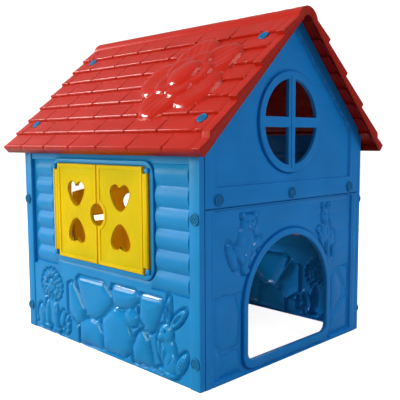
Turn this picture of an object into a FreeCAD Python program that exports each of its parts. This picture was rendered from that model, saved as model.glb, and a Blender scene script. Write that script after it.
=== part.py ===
import FreeCAD, Part
import os
import re

# Garden playhouse of moulded plastic panels, bolted together with plastic bolts and nuts.
# Millimetres, +Z up. The origin is the middle of the base, on the ground. The gable wall with
# the low arched way in faces -Y, the ridge runs along Y and the two window walls face -X and +X.
# Every gable or window wall is drawn once, at -Y or at -X, and its opposite is the same drawing
# turned half a turn about the origin.

doc = FreeCAD.newDocument("playhouse")

DIMENSIONS = [
    ("house_width", 790, "over the outer faces of the two window walls"),
    ("house_length", 892, "over the outer faces of the two gable walls"),
    ("side_height", 690, "top of a window wall"),
    ("roof_pitch", 43.6, "slope of the roof in degrees"),
    ("skin", 3, "thickness of the moulded plastic"),
    ("panel_gap", 0.4, "clearance between two panels that meet"),
    ("post_width", 40, "width of a corner post on a window wall"),
    ("post_depth", 20, "depth of a window wall at its corner posts"),
    ("siding_recess", 7, "how far the skin of a window wall lies behind its posts"),
    ("log_pitch", 60, "height of one log of the siding"),
    ("log_start", 250, "lowest edge of the log siding"),
    ("log_gap", 6, "space between the end of a log and the post"),
    ("plinth_height", 235, "top of the stone field under the window"),
    ("plinth_bottom", 12, "bottom of the stone field"),
    ("stone_recess", 2, "how far the stone field lies behind the posts"),
    ("window_half", 222, "half the length of the window opening"),
    ("window_height", 264, "height of the window opening"),
    ("window_centre", 444.3, "height of the middle of the window"),
    ("ledge_width", 26, "ledge behind the rim of the closed shutters"),
    ("ledge_depth", 6, "how far the ledge lies behind the face of the frame"),
    ("frame_width", 14, "width of the raised frame around the shutters"),
    ("frame_corner", 40, "outer corner radius of that frame"),
    ("shutter_gap", 2, "space around a closed shutter"),
    ("shutter_thickness", 12, "thickness of a shutter"),
    ("shutter_proud", 8, "how far a closed shutter stands out of the frame's face"),
    ("shutter_rim", 20, "width of the raised rim of a shutter"),
    ("rim_height", 2, "how far that rim stands above the panel of the shutter"),
    ("barrel_radius", 4.5, "radius of the hinge barrel on a shutter"),
    ("barrel_proud", 5, "distance of the hinge line in front of the frame's face"),
    ("barrel_inset", 7, "distance of the hinge line from the inner edge of the frame"),
    ("pin_radius", 3, "radius of a moulded hinge pin"),
    ("pin_length", 10, "length of a moulded hinge pin"),
    ("pin_fit", 0.06, "radial clearance of a hinge pin in its ear"),
    ("ear_height", 14, "height of a hinge ear"),
    ("ear_width", 16, "width of a hinge ear"),
    ("ear_gap", 1, "end play between a hinge barrel and its ears"),
    ("ear_inset", 4, "distance of a hinge ear from the end of its shutter"),
    ("notch_width", 20, "width of the corner cut out of a shutter or a half door around its ear"),
    ("heart_width", 92, "width of a heart cut through a shutter"),
    ("heart_lobe", 25, "radius of the lobes of a heart"),
    ("heart_height", 80, "height of a heart"),
    ("heart_waist", 10, "height of a heart's widest line below the middle of its lobes"),
    ("heart_spacing", 121, "height between the middles of the two hearts of a shutter"),
    ("heart_offset", 115, "distance of a heart's middle from the meeting edge"),
    ("finger_radius", 35, "radius of the finger hole shared by the two shutters"),
    ("gable_depth", 36, "depth of a gable panel's edge flange"),
    ("field_recess", 9, "how far the field of a gable panel lies behind its border"),
    ("border", 31.5, "width of the border of a gable panel"),
    ("seam_height", 490, "where the lower and upper gable panels meet"),
    ("rail_height", 57, "height of the rail where the two gable panels overlap"),
    ("tongue_gap", 1, "space between the lower panel's tongue and the inside of the rail"),
    ("peak_flat", 14, "half the width of the flat at the top of a gable panel"),
    ("sill_height", 37, "height of the sill of both ways in"),
    ("base_band", 12, "bottom border of a lower gable panel"),
    ("hatch_half", 199, "half the width of the low way in"),
    ("hatch_straight", 186, "height where the arch of the low way in starts"),
    ("hatch_corner", 25, "radius of the lower corners of the low way in"),
    ("hatch_frame", 19, "width of the raised frame around a way in"),
    ("frame_depth", 16, "depth of the frame around a way in or a round window"),
    ("porthole_radius", 128, "radius of the round window"),
    ("porthole_frame", 23, "width of the frame of the round window"),
    ("porthole_height", 726, "height of the middle of the round window"),
    ("mullion_width", 31, "width of the cross bars of the round window"),
    ("mullion_inset", 2, "how far the cross bars lie behind the frame"),
    ("mullion_depth", 12, "depth of the cross bars"),
    ("doorway_half", 213, "half the width of the tall way in"),
    ("door_height", 500, "top of the half door at its middle"),
    ("door_crown", 1000, "radius of the curved top edge of the half door"),
    ("door_gap", 4, "space between the half door and the frame and sill"),
    ("door_thickness", 12, "thickness of the half door"),
    ("door_rim", 16, "width of the thick rim around the hollow back of the half door"),
    ("door_inset", 3, "how far the half door lies behind the face of its frame"),
    ("door_barrel", 6, "radius of the half door's hinge barrel"),
    ("door_hinge_proud", 1, "distance of the half door's hinge line in front of its face"),
    ("door_hinge_inset", 7, "distance of the half door's hinge line from the jamb"),
    ("door_ear_low", 85, "height of the middle of the lower door ear"),
    ("door_ear_high", 402, "height of the middle of the upper door ear"),
    ("slot_width", 130, "width of the letter slot"),
    ("slot_height", 22, "height of the letter slot"),
    ("slot_centre", 368.5, "height of the letter slot"),
    ("slot_offset", 85, "distance of the letter slot from the middle of the door"),
    ("peephole_radius", 32, "radius of the round hole in the half door"),
    ("peephole_offset", 67, "distance of the round hole from the middle of the door"),
    ("peephole_height", 425, "height of the round hole"),
    ("ridge_radius", 50, "radius of the rolled ridge"),
    ("ridge_offset", 44.8, "distance of the roof's plain face from the centre of the ridge roll"),
    ("ridge_seam", 0.3, "half the gap between the two roof panels at the ridge"),
    ("gable_overhang", 54, "how far the roof reaches past a gable wall"),
    ("eave_overhang", 55, "how far the roof reaches past a window wall"),
    ("rim_depth", 20.8, "how far the roof's rim hangs below its plain face"),
    ("first_row", 94, "slope length from the ridge to the end of the first tile row"),
    ("tile_step", 8, "height of a tile row's lower edge"),
    ("verge_width", 27, "width of the verge tiles along the front gable"),
    ("verge_lag", 14, "how far down the slope a verge tile ends below every second tile row"),
    ("verge_step", 13.5, "height of a verge tile's lower edge"),
    ("bolt_head_radius", 16, "radius of a bolt head"),
    ("bolt_head_height", 5, "height of a bolt head"),
    ("head_gap", 2, "space around a bolt head in the roof's recesses"),
    ("bolt_radius", 6, "radius of a bolt's shank"),
    ("bolt_play", 0.4, "radial clearance of a shank in its holes"),
    ("bolt_boss", 11, "radius of the boss around a bolt in a corner post"),
    ("nut_radius", 10, "radius of a nut"),
    ("nut_height", 8, "height of a nut"),
    ("nut_play", 0.1, "radial clearance between a nut and its bolt"),
    ("post_bolt_low", 77, "height of the lower bolt in a corner post"),
    ("post_bolt_high", 467, "height of the upper bolt in a corner post"),
    ("post_bolt_inset", 17, "distance of a corner bolt from the outer face of the gable wall"),
    ("rail_bolt_side", 322, "distance of the outer rail bolts from the middle"),
    ("rail_bolt_height", 514, "height of the rail bolts"),
    ("roof_bolt_reach", 25, "distance of a roof bolt from the outer face of the gable wall"),
    ("roof_bolt_first", 104.6, "slope length from the ridge to the upper roof bolts"),
    ("roof_bolt_second", 451.6, "slope length from the ridge to the lower roof bolts"),
]
TILE_ROWS = 8
LOG_ROWS = 6
SMALL = 1     # how far a cutting shape runs past the face that it cuts

sizes = doc.addObject("Spreadsheet::Sheet", "Sizes")
for row, (alias, value, note) in enumerate(DIMENSIONS, start=1):
    sizes.set(f"A{row}", alias)
    sizes.set(f"B{row}", str(value))
    sizes.set(f"C{row}", note)
    sizes.setAlias(f"B{row}", alias)
ALIASES = {alias for alias, value, note in DIMENSIONS}
doc.recompute()

# Lengths that follow from the sheet, as formulas.
SIDE_FACE = "(-house_width/2)"
GABLE_FACE = "(-house_length/2)"
SIDE_INNER = f"({SIDE_FACE} + post_depth)"
HALF_LENGTH = "(house_length/2)"
PANEL_HALF = "(house_width/2 - post_depth - panel_gap)"
PEAK = "(side_height + tan(roof_pitch)*house_width/2)"
RIDGE_CENTRE = f"({PEAK} + (panel_gap + skin - ridge_offset)/cos(roof_pitch))"
TILE_FACE = "ridge_offset"
ROOF_UNDER = "(ridge_offset - skin)"
EAVE = f"((house_width/2 + eave_overhang - ({TILE_FACE} + tile_step)*sin(roof_pitch))/cos(roof_pitch))"
ROW_PITCH = f"(({EAVE} - first_row)/{TILE_ROWS - 1})"
ROOF_HALF = "(house_length/2 + gable_overhang)"
RAIL_TOP = "(seam_height + rail_height)"
UPPER_BOTTOM = "(seam_height + panel_gap)"
SHUTTER_OUTER = "(window_half + ledge_width)"
SHUTTER_HALF_HEIGHT = "(window_height/2 + ledge_width - shutter_gap)"
HINGE_Y = f"({SHUTTER_OUTER} - barrel_inset)"
HINGE_X = f"({SIDE_FACE} - barrel_proud)"
BARREL_HALF = f"({SHUTTER_HALF_HEIGHT} - ear_height - ear_gap - ear_inset)"
EAR_CENTRE = f"({BARREL_HALF} + ear_gap + ear_height/2)"
DOOR_HINGE_X = "(doorway_half - door_hinge_inset)"
DOOR_HINGE_Y = f"({GABLE_FACE} + door_inset - door_hinge_proud)"
POST_BOLT_Y = f"({GABLE_FACE} + post_bolt_inset)"


def bind(item, prop, formula):
    """Tie a property to a formula in which every alias is read from the sheet."""
    def cell(match):
        return f"Sizes.{match.group()}" if match.group() in ALIASES else match.group()
    item.setExpression(prop, re.sub(r"[a-z][a-z_]+", cell, str(formula)))


def place(item, x, y, z):
    bind(item, "Placement.Base.x", x)
    bind(item, "Placement.Base.y", y)
    bind(item, "Placement.Base.z", z)
    return item


def box(name, xs, ys, zs):
    """A block between two formulas along each axis."""
    item = doc.addObject("Part::Box", name)
    for prop, (low, high) in zip(("Length", "Width", "Height"), (xs, ys, zs)):
        bind(item, prop, f"({high}) - ({low})")
    return place(item, xs[0], ys[0], zs[0])


TURNS = {
    "X": FreeCAD.Rotation(FreeCAD.Vector(0, 1, 0), 90),
    "Y": FreeCAD.Rotation(FreeCAD.Vector(1, 0, 0), -90),
    "Z": FreeCAD.Rotation(),
}


def rod(name, axis, start, radius, length):
    """A cylinder that runs from its start along an axis."""
    item = doc.addObject("Part::Cylinder", name)
    bind(item, "Radius", radius)
    bind(item, "Height", length)
    item.Placement = FreeCAD.Placement(FreeCAD.Vector(), TURNS[axis])
    return place(item, *start)


def fuse(name, items):
    item = doc.addObject("Part::MultiFuse", name)
    item.Shapes = items
    return item


def cut(name, base, tools):
    """Take one or several shapes away from a base."""
    tool = tools[0] if len(tools) == 1 else fuse(f"{name}_tools", tools)
    item = doc.addObject("Part::Cut", name)
    item.Base = base
    item.Tool = tool
    return item


def gather(name, items):
    item = doc.addObject("Part::Compound", name)
    item.Links = items
    return item


subparts = []


def finish(item, label, turned=False):
    """Give a finished piece its name, and its half turn about Z where it stands opposite."""
    item.Label = label
    if turned:
        item.Placement = FreeCAD.Placement(FreeCAD.Vector(), FreeCAD.Rotation(FreeCAD.Vector(0, 0, 1), 180))
    subparts.append(item)
    return item


# ---------------------------------------------------------------- window walls

def rounded_block(name, x_span, half, low, high, corner):
    """A plate across X with rounded corners, middle at y = 0."""
    start, end = x_span
    items = [
        box(f"{name}_tall", x_span, (f"-({half}) + {corner}", f"({half}) - {corner}"), (low, high)),
        box(f"{name}_wide", x_span, (f"-({half})", half), (f"({low}) + {corner}", f"({high}) - {corner}")),
    ]
    for side in (-1, 1):
        for level, inward in ((low, 1), (high, -1)):
            centre = (start, f"{side}*(({half}) - {corner})", f"({level}) + {inward}*({corner})")
            tag = f"{name}_corner_{side + 1}_{inward + 1}"
            items.append(rod(tag, "X", centre, corner, f"({end}) - ({start})"))
    return fuse(name, items)


LOG_RADIUS = "((log_pitch/2)^2 + siding_recess^2)/(2*siding_recess)"


def mirrored_span(end, near, far):
    """A span between two distances from y = 0, on the -Y or on the +Y side."""
    return (f"{end}*({near})", f"{end}*({far})") if end > 0 else (f"{end}*({far})", f"{end}*({near})")


def log_run(name, run, end, zs, inset, depth_end):
    """One log beside the window: a slice of a large cylinder, drawn in by an inset."""
    near, far = run
    ys = mirrored_span(end, near, far)
    middle = f"(({zs[0]}) + ({zs[1]}))/2"
    stock = rod(f"{name}_stock", "Y", (f"{SIDE_FACE} + {LOG_RADIUS}", ys[0], middle),
                f"{LOG_RADIUS} - {inset}", f"({ys[1]}) - ({ys[0]})")
    slot = box(f"{name}_slot", (SIDE_FACE, depth_end), ys, zs)
    log = doc.addObject("Part::MultiCommon", name)
    log.Shapes = [stock, slot]
    return log


def window_wall(label, turned):
    """One window wall: skin, corner posts, log siding, stone field, window frame and hinge ears."""
    p = label
    face = SIDE_FACE
    skin_front = f"{face} + siding_recess"
    skin_back = f"{face} + siding_recess + skin"
    between_posts = "house_length/2 - post_width"
    solids = [
        box(f"{p}_skin", (skin_front, skin_back), (f"-{HALF_LENGTH}", HALF_LENGTH), ("0", "side_height")),
        box(f"{p}_foot", (face, SIDE_INNER), (f"-{HALF_LENGTH}", HALF_LENGTH), ("0", "skin")),
        box(f"{p}_top", (skin_front, SIDE_INNER), (f"-{HALF_LENGTH}", HALF_LENGTH),
            ("side_height - skin", "side_height")),
        box(f"{p}_stone_field", (f"{face} + stone_recess", skin_back), (f"-({between_posts} - log_gap)",
            f"{between_posts} - log_gap"), ("plinth_bottom", "plinth_height")),
    ]
    outer_half = f"({SHUTTER_OUTER} + frame_width)"
    run_end = f"({between_posts} - log_gap)"
    hollows = [box(f"{p}_stone_hollow", (f"{face} + stone_recess + skin", f"{skin_back} + {SMALL}"),
                   (f"-{run_end} + skin", f"{run_end} - skin"),
                   ("plinth_bottom + skin", "plinth_height - skin"))]
    for row in range(LOG_ROWS):
        low = f"log_start + {row}*log_pitch"
        zs = (low, f"{low} + log_pitch")
        for end in (-1, 1):
            tag = f"{p}_log_{row}_{end + 1}"
            solids.append(log_run(tag, (f"{outer_half} - 1", run_end), end, zs, "0", f"{skin_front} + 1"))
            hollows.append(log_run(f"{tag}_hollow", (f"{outer_half} + skin", f"{run_end} - skin"), end, zs,
                                   "skin", f"{skin_back} + {SMALL}"))
    holes = []
    for end in (-1, 1):
        post = box(f"{p}_post_block_{end + 1}", (face, SIDE_INNER),
                   mirrored_span(end, between_posts, HALF_LENGTH), ("0", "side_height"))
        hollow = box(f"{p}_post_hollow_{end + 1}", (f"{face} + skin", f"{SIDE_INNER} + {SMALL}"),
                     mirrored_span(end, f"{between_posts} + skin", f"{HALF_LENGTH} - skin"),
                     ("skin", "side_height - skin"))
        solids.append(cut(f"{p}_post_{end + 1}", post, [hollow]))
        for level in ("post_bolt_low", "post_bolt_high"):
            centre_y = f"{end}*({HALF_LENGTH} - post_bolt_inset)"
            solids.append(rod(f"{p}_boss_{level}_{end + 1}", "X", (face, centre_y, level), "bolt_boss",
                              "post_depth"))
            holes.append(rod(f"{p}_bolt_hole_{level}_{end + 1}", "X", (f"{face} - {SMALL}", centre_y, level),
                             "bolt_radius + bolt_play", f"post_depth + {2*SMALL}"))
    solids.append(rounded_block(f"{p}_frame", (face, f"{face} + ledge_depth + skin"), outer_half,
                                "window_centre - window_height/2 - ledge_width - frame_width",
                                "window_centre + window_height/2 + ledge_width + frame_width", "frame_corner"))
    low = "window_centre - window_height/2"
    high = "window_centre + window_height/2"
    recess = rounded_block(f"{p}_shutter_recess", (f"{face} - {SMALL}", f"{face} + ledge_depth"), SHUTTER_OUTER,
                           f"{low} - ledge_width", f"{high} + ledge_width", "(frame_corner - frame_width)")
    opening = rounded_block(f"{p}_opening", (f"{face} - {SMALL}", f"{SIDE_INNER} + {SMALL}"), "window_half",
                            low, high, "ledge_width")
    shell = cut(f"{p}_shell", fuse(f"{p}_solids", solids), holes + hollows + [recess, opening])
    ears = []
    pin_holes = []
    for end in (-1, 1):
        ys = mirrored_span(end, f"{HINGE_Y} - ear_width/2", f"{SHUTTER_OUTER} + {SMALL}")
        for up in (-1, 1):
            middle = f"window_centre + {up}*{EAR_CENTRE}"
            zs = (f"{middle} - ear_height/2", f"{middle} + ear_height/2")
            xs = (f"{HINGE_X} - barrel_radius", f"{face} + ledge_depth + {SMALL}")
            ears.append(box(f"{p}_ear_{end + 1}_{up + 1}", xs, ys, zs))
            root = f"{zs[0]} - {SMALL}" if up > 0 else f"{zs[1]} - pin_length"
            pin_holes.append(rod(f"{p}_pin_hole_{end + 1}_{up + 1}", "Z", (HINGE_X, f"{end}*{HINGE_Y}", root),
                                 "pin_radius + pin_fit", f"pin_length + {SMALL}"))
    with_ears = fuse(f"{p}_with_ears", [shell] + ears)
    finish(cut(f"{p}_finished", with_ears, pin_holes), label, turned)


# ---------------------------------------------------------------- shutters

def heart(name, x_span, centre_y, centre_z, upright):
    """A heart-shaped cutter: two lobes over a tapering block, or the same upside down."""
    start, end = x_span
    lobe_y = "(heart_width/2 - heart_lobe)"
    lobe_z = f"({centre_z} + {upright}*(heart_height/2 - heart_lobe))"
    items = []
    for side in (-1, 1):
        items.append(rod(f"{name}_lobe_{side + 1}", "X", (start, f"{centre_y} + {side}*{lobe_y}", lobe_z),
                         "heart_lobe", f"({end}) - ({start})"))
    shoulder = "(heart_width/2 - heart_lobe + sqrt(heart_lobe^2 - heart_waist^2))"
    point = doc.addObject("Part::Wedge", f"{name}_point")
    bind(point, "Xmin", f"-{shoulder}")
    bind(point, "Xmax", shoulder)
    bind(point, "X2min", f"-{SMALL}")
    bind(point, "X2max", str(SMALL))
    bind(point, "Ymin", "0")
    bind(point, "Ymax", "heart_height - heart_lobe - heart_waist")
    for prop in ("Zmin", "Z2min"):
        bind(point, prop, "0")
    for prop in ("Zmax", "Z2max"):
        bind(point, prop, f"({end}) - ({start})")
    # The block's own X, Y and Z lie along the wall, down (or up) to the tip and through the wall.
    if upright > 0:
        along, down = FreeCAD.Vector(0, -1, 0), FreeCAD.Vector(0, 0, -1)
    else:
        along, down = FreeCAD.Vector(0, 1, 0), FreeCAD.Vector(0, 0, 1)
    turn = FreeCAD.Rotation(along, down, FreeCAD.Vector(1, 0, 0), "ZYX")
    point.Placement = FreeCAD.Placement(FreeCAD.Vector(), turn)
    place(point, start, centre_y, f"{lobe_z} - {upright}*heart_waist")
    levels = (f"{lobe_z} - {upright}*(heart_waist + {SMALL})", f"{lobe_z} + {upright}*heart_waist")
    items.append(box(f"{name}_middle", x_span, (f"{centre_y} - {lobe_y}", f"{centre_y} + {lobe_y}"),
                     levels if upright > 0 else levels[::-1]))
    return fuse(name, items + [point])


def shutter(label, end, turned):
    """One shutter with its hinge barrel and pins; end is -1 or 1 along Y."""
    p = label
    front = f"{SIDE_FACE} - shutter_proud"
    back = f"{front} + shutter_thickness"
    low = f"window_centre - {SHUTTER_HALF_HEIGHT}"
    high = f"window_centre + {SHUTTER_HALF_HEIGHT}"
    slab = box(f"{p}_slab", (front, back), mirrored_span(end, "shutter_gap", HINGE_Y), (low, high))
    cutters = [
        box(f"{p}_panel", (f"{front} - {SMALL}", f"{front} + rim_height"),
            mirrored_span(end, "shutter_gap + shutter_rim", f"{HINGE_Y} - shutter_rim - barrel_radius"),
            (f"{low} + shutter_rim", f"{high} - shutter_rim")),
        rod(f"{p}_finger", "X", (f"{front} - {SMALL}", "0", "window_centre"), "finger_radius",
            f"shutter_thickness + {2*SMALL}"),
    ]
    through = (f"{front} - {SMALL}", f"{back} + {SMALL}")
    for up in (-1, 1):
        centre_z = f"(window_centre + {up}*heart_spacing/2)"
        cutters.append(heart(f"{p}_heart_{up + 1}", through, f"({end}*heart_offset)", centre_z, up))
        inner = f"window_centre + {up}*{BARREL_HALF}"
        outer = f"window_centre + {up}*({SHUTTER_HALF_HEIGHT} + {SMALL})"
        zs = (inner, outer) if up > 0 else (outer, inner)
        cutters.append(box(f"{p}_notch_{up + 1}", through,
                           mirrored_span(end, f"{HINGE_Y} - notch_width", f"{HINGE_Y} + {SMALL}"), zs))
    leaf = cut(f"{p}_leaf", slab, cutters)
    hinge = f"{end}*{HINGE_Y}"
    barrel = rod(f"{p}_barrel", "Z", (HINGE_X, hinge, f"window_centre - {BARREL_HALF}"), "barrel_radius",
                 f"2*{BARREL_HALF}")
    pin = rod(f"{p}_pin", "Z", (HINGE_X, hinge, f"window_centre - {BARREL_HALF} - pin_length"), "pin_radius",
              f"2*({BARREL_HALF} + pin_length)")
    finish(fuse(f"{p}_finished", [leaf, barrel, pin]), label, turned)


# ---------------------------------------------------------------- gable walls

def gable_prism(name, inset, y_span, bottom):
    """A prism of the gable's outline, drawn in by an inset, across a span of Y."""
    start, end = y_span
    half = f"({PANEL_HALF} - ({inset}))"
    drop = f"(({inset})/cos(roof_pitch))"
    shoulder = f"({PEAK} - {drop} - tan(roof_pitch)*{half})"
    block = box(f"{name}_block", (f"-{half}", half), y_span, (bottom, shoulder))
    wedge = doc.addObject("Part::Wedge", f"{name}_peak")
    bind(wedge, "Xmin", f"-{half}")
    bind(wedge, "Xmax", half)
    bind(wedge, "X2min", "-peak_flat")
    bind(wedge, "X2max", "peak_flat")
    bind(wedge, "Ymin", "0")
    bind(wedge, "Ymax", f"{PEAK} - {drop} - tan(roof_pitch)*peak_flat - {shoulder}")
    for prop in ("Zmin", "Z2min"):
        bind(wedge, prop, f"-(({end}) - ({start}))")
    for prop in ("Zmax", "Z2max"):
        bind(wedge, prop, "0")
    wedge.Placement = FreeCAD.Placement(FreeCAD.Vector(), FreeCAD.Rotation(FreeCAD.Vector(1, 0, 0), 90))
    place(wedge, "0", start, shoulder)
    return fuse(name, [block, wedge])


def arch(name, half, straight, bottom, y_span, corner=None):
    """A round-headed prism; its lower corners are rounded where a radius is given."""
    start, end = y_span
    depth = f"({end}) - ({start})"
    head = rod(f"{name}_head", "Y", ("0", end, straight), half, depth)
    head.Angle = 180
    head.Placement.Rotation = FreeCAD.Rotation(FreeCAD.Vector(1, 0, 0), 90)
    items = [head]
    if corner is None:
        items.append(box(f"{name}_legs", (f"-({half})", half), y_span, (bottom, straight)))
        return fuse(name, items)
    items.append(box(f"{name}_legs", (f"-({half})", half), y_span, (f"({bottom}) + {corner}", straight)))
    items.append(box(f"{name}_step", (f"-({half}) + {corner}", f"({half}) - {corner}"), y_span,
                     (bottom, straight)))
    for side in (-1, 1):
        centre = (f"{side}*(({half}) - {corner})", start, f"({bottom}) + {corner}")
        items.append(rod(f"{name}_corner_{side + 1}", "Y", centre, corner, depth))
    return fuse(name, items)


def rail_bolt_places(middle):
    sides = (-1, 0, 1) if middle else (-1, 1)
    return [f"{side}*rail_bolt_side" for side in sides]


def lower_gable(label, half, straight, corner, middle_bolt):
    """The lower panel of a gable wall, with a way in and a tongue for the upper panel."""
    p = label
    face = GABLE_FACE
    field_front = f"{face} + field_recess"
    field_back = f"{face} + field_recess + skin"
    inner_half = f"({PANEL_HALF} - border)"
    through = (f"{face} - {SMALL}", f"{face} + gable_depth + {SMALL}")
    stock = box(f"{p}_stock", (f"-{PANEL_HALF}", PANEL_HALF), (face, f"{face} + gable_depth"),
                ("0", "seam_height"))
    cuts = [
        box(f"{p}_inside", (f"-{PANEL_HALF} + skin", f"{PANEL_HALF} - skin"), (field_back, through[1]),
            ("skin", f"seam_height + {SMALL}")),
        box(f"{p}_field", (f"-{inner_half}", inner_half), (through[0], field_front),
            ("base_band", "seam_height - skin")),
    ]
    for side in (-1, 1):
        near = f"{side}*({inner_half} + skin)"
        far = f"{side}*({PANEL_HALF} - skin)"
        cuts.append(box(f"{p}_border_{side + 1}", (near, far) if side > 0 else (far, near),
                        (f"{face} + skin", f"{field_back} + {SMALL}"), ("skin", "seam_height - skin")))
    shell = cut(f"{p}_shell", stock, cuts)
    tongue_half = f"({PANEL_HALF} - skin - tongue_gap)"
    tongue = box(f"{p}_tongue", (f"-{tongue_half}", tongue_half),
                 (f"{face} + skin + panel_gap", f"{face} + 2*skin + panel_gap"),
                 ("seam_height - skin", f"{RAIL_TOP} - skin - tongue_gap"))
    if straight == "seam_height":
        # The upper panel's round frame passes through the rail, so the tongue ends beside it.
        tongue = cut(f"{p}_tongue_beside_frame", tongue, [rod(
            f"{p}_frame_room", "Y", ("0", face, straight), f"{half} + hatch_frame + tongue_gap",
            "gable_depth")])
    frame_span = (face, f"{face} + frame_depth")
    frame = arch(f"{p}_frame", f"{half} + hatch_frame", straight, "skin", frame_span)
    ring = cut(f"{p}_ring", frame, [box(f"{p}_above_seam", (f"-{PANEL_HALF}", PANEL_HALF), through,
                                        ("seam_height", "seam_height + house_width"))])
    holes = [arch(f"{p}_way_in", half, straight, "sill_height", through, corner)]
    for count, across in enumerate(rail_bolt_places(middle_bolt)):
        holes.append(rod(f"{p}_rail_hole_{count}", "Y", (across, through[0], "rail_bolt_height"),
                         "bolt_radius + bolt_play", f"gable_depth + {2*SMALL}"))
    for side in (-1, 1):
        for level in ("post_bolt_low", "post_bolt_high"):
            start = f"{side}*({PANEL_HALF} - skin/2) - skin"
            holes.append(rod(f"{p}_post_hole_{level}_{side + 1}", "X", (start, POST_BOLT_Y, level),
                             "bolt_radius + bolt_play", "2*skin"))
    return cut(f"{p}_finished", fuse(f"{p}_solids", [shell, tongue, ring]), holes)


def door_ears(wall, label):
    """The two ears on the doorway's frame that hold the half door's hinge pins."""
    ears = []
    holes = []
    for level in ("door_ear_low", "door_ear_high"):
        ears.append(box(f"{label}_{level}", (f"{DOOR_HINGE_X} - door_barrel", "doorway_half + skin"),
                        (f"{DOOR_HINGE_Y} - door_barrel", f"{DOOR_HINGE_Y} + door_barrel"),
                        (f"{level} - ear_height/2", f"{level} + ear_height/2")))
        holes.append(rod(f"{label}_{level}_hole", "Z",
                         (DOOR_HINGE_X, DOOR_HINGE_Y, f"{level} - ear_height/2 - {SMALL}"),
                         "pin_radius + pin_fit", f"ear_height + {2*SMALL}"))
    return cut(f"{label}_with_ears", fuse(f"{label}_eared", [wall] + ears), holes)


def upper_gable(label, turned, window):
    """The upper panel of a gable wall, with a round window or the head of the tall way in."""
    p = label
    face = GABLE_FACE
    through = (f"{face} - {SMALL}", f"{face} + gable_depth + {SMALL}")
    field_back = f"{face} + field_recess + skin"
    stock = gable_prism(f"{p}_stock", "0", (face, f"{face} + gable_depth"), UPPER_BOTTOM)
    inside = gable_prism(f"{p}_inside", "skin", (field_back, through[1]), f"{UPPER_BOTTOM} - {SMALL}")
    field = gable_prism(f"{p}_field", "border", (through[0], f"{face} + field_recess"), RAIL_TOP)
    around = gable_prism(f"{p}_around", "skin", (f"{face} + skin", f"{field_back} + {SMALL}"),
                         f"{UPPER_BOTTOM} - {SMALL}")
    core = gable_prism(f"{p}_core", "border - skin",
                       (f"{face} + skin - {SMALL}", f"{field_back} + {2*SMALL}"),
                       f"{RAIL_TOP} - skin")
    shell = cut(f"{p}_shell", stock, [inside, field, cut(f"{p}_border_hollow", around, [core])])
    if window:
        ring = rod(f"{p}_ring", "Y", ("0", face, "porthole_height"), "porthole_radius + porthole_frame",
                   "frame_depth")
        hole = rod(f"{p}_hole", "Y", ("0", through[0], "porthole_height"), "porthole_radius",
                   f"gable_depth + {2*SMALL}")
        bar_span = (f"{face} + mullion_inset", f"{face} + mullion_inset + mullion_depth")
        reach = "(porthole_radius + porthole_frame/2)"
        bars = [
            box(f"{p}_level_bar", (f"-{reach}", reach), bar_span,
                ("porthole_height - mullion_width/2", "porthole_height + mullion_width/2")),
            box(f"{p}_upright_bar", ("-mullion_width/2", "mullion_width/2"), bar_span,
                (f"porthole_height - {reach}", f"porthole_height + {reach}")),
        ]
    else:
        round_frame = rod(f"{p}_round", "Y", ("0", face, "seam_height"), "doorway_half + hatch_frame",
                          "frame_depth")
        below = box(f"{p}_below_seam", ("-house_width", "house_width"), through, ("0", UPPER_BOTTOM))
        ring = cut(f"{p}_ring", round_frame, [below])
        hole = rod(f"{p}_hole", "Y", ("0", through[0], "seam_height"), "doorway_half",
                   f"gable_depth + {2*SMALL}")
        bars = []
    panel = cut(f"{p}_panel", fuse(f"{p}_framed", [shell, ring]), [hole])
    if bars:
        panel = fuse(f"{p}_barred", [panel] + bars)
    holes = []
    for count, across in enumerate(rail_bolt_places(window)):
        holes.append(rod(f"{p}_rail_hole_{count}", "Y", (across, through[0], "rail_bolt_height"),
                         "bolt_radius + bolt_play", f"gable_depth + {2*SMALL}"))
    holes.append(gable_roof_holes(f"{p}_roof_hole"))
    finish(cut(f"{p}_finished", panel, holes), label, turned)


# ---------------------------------------------------------------- half door

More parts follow.
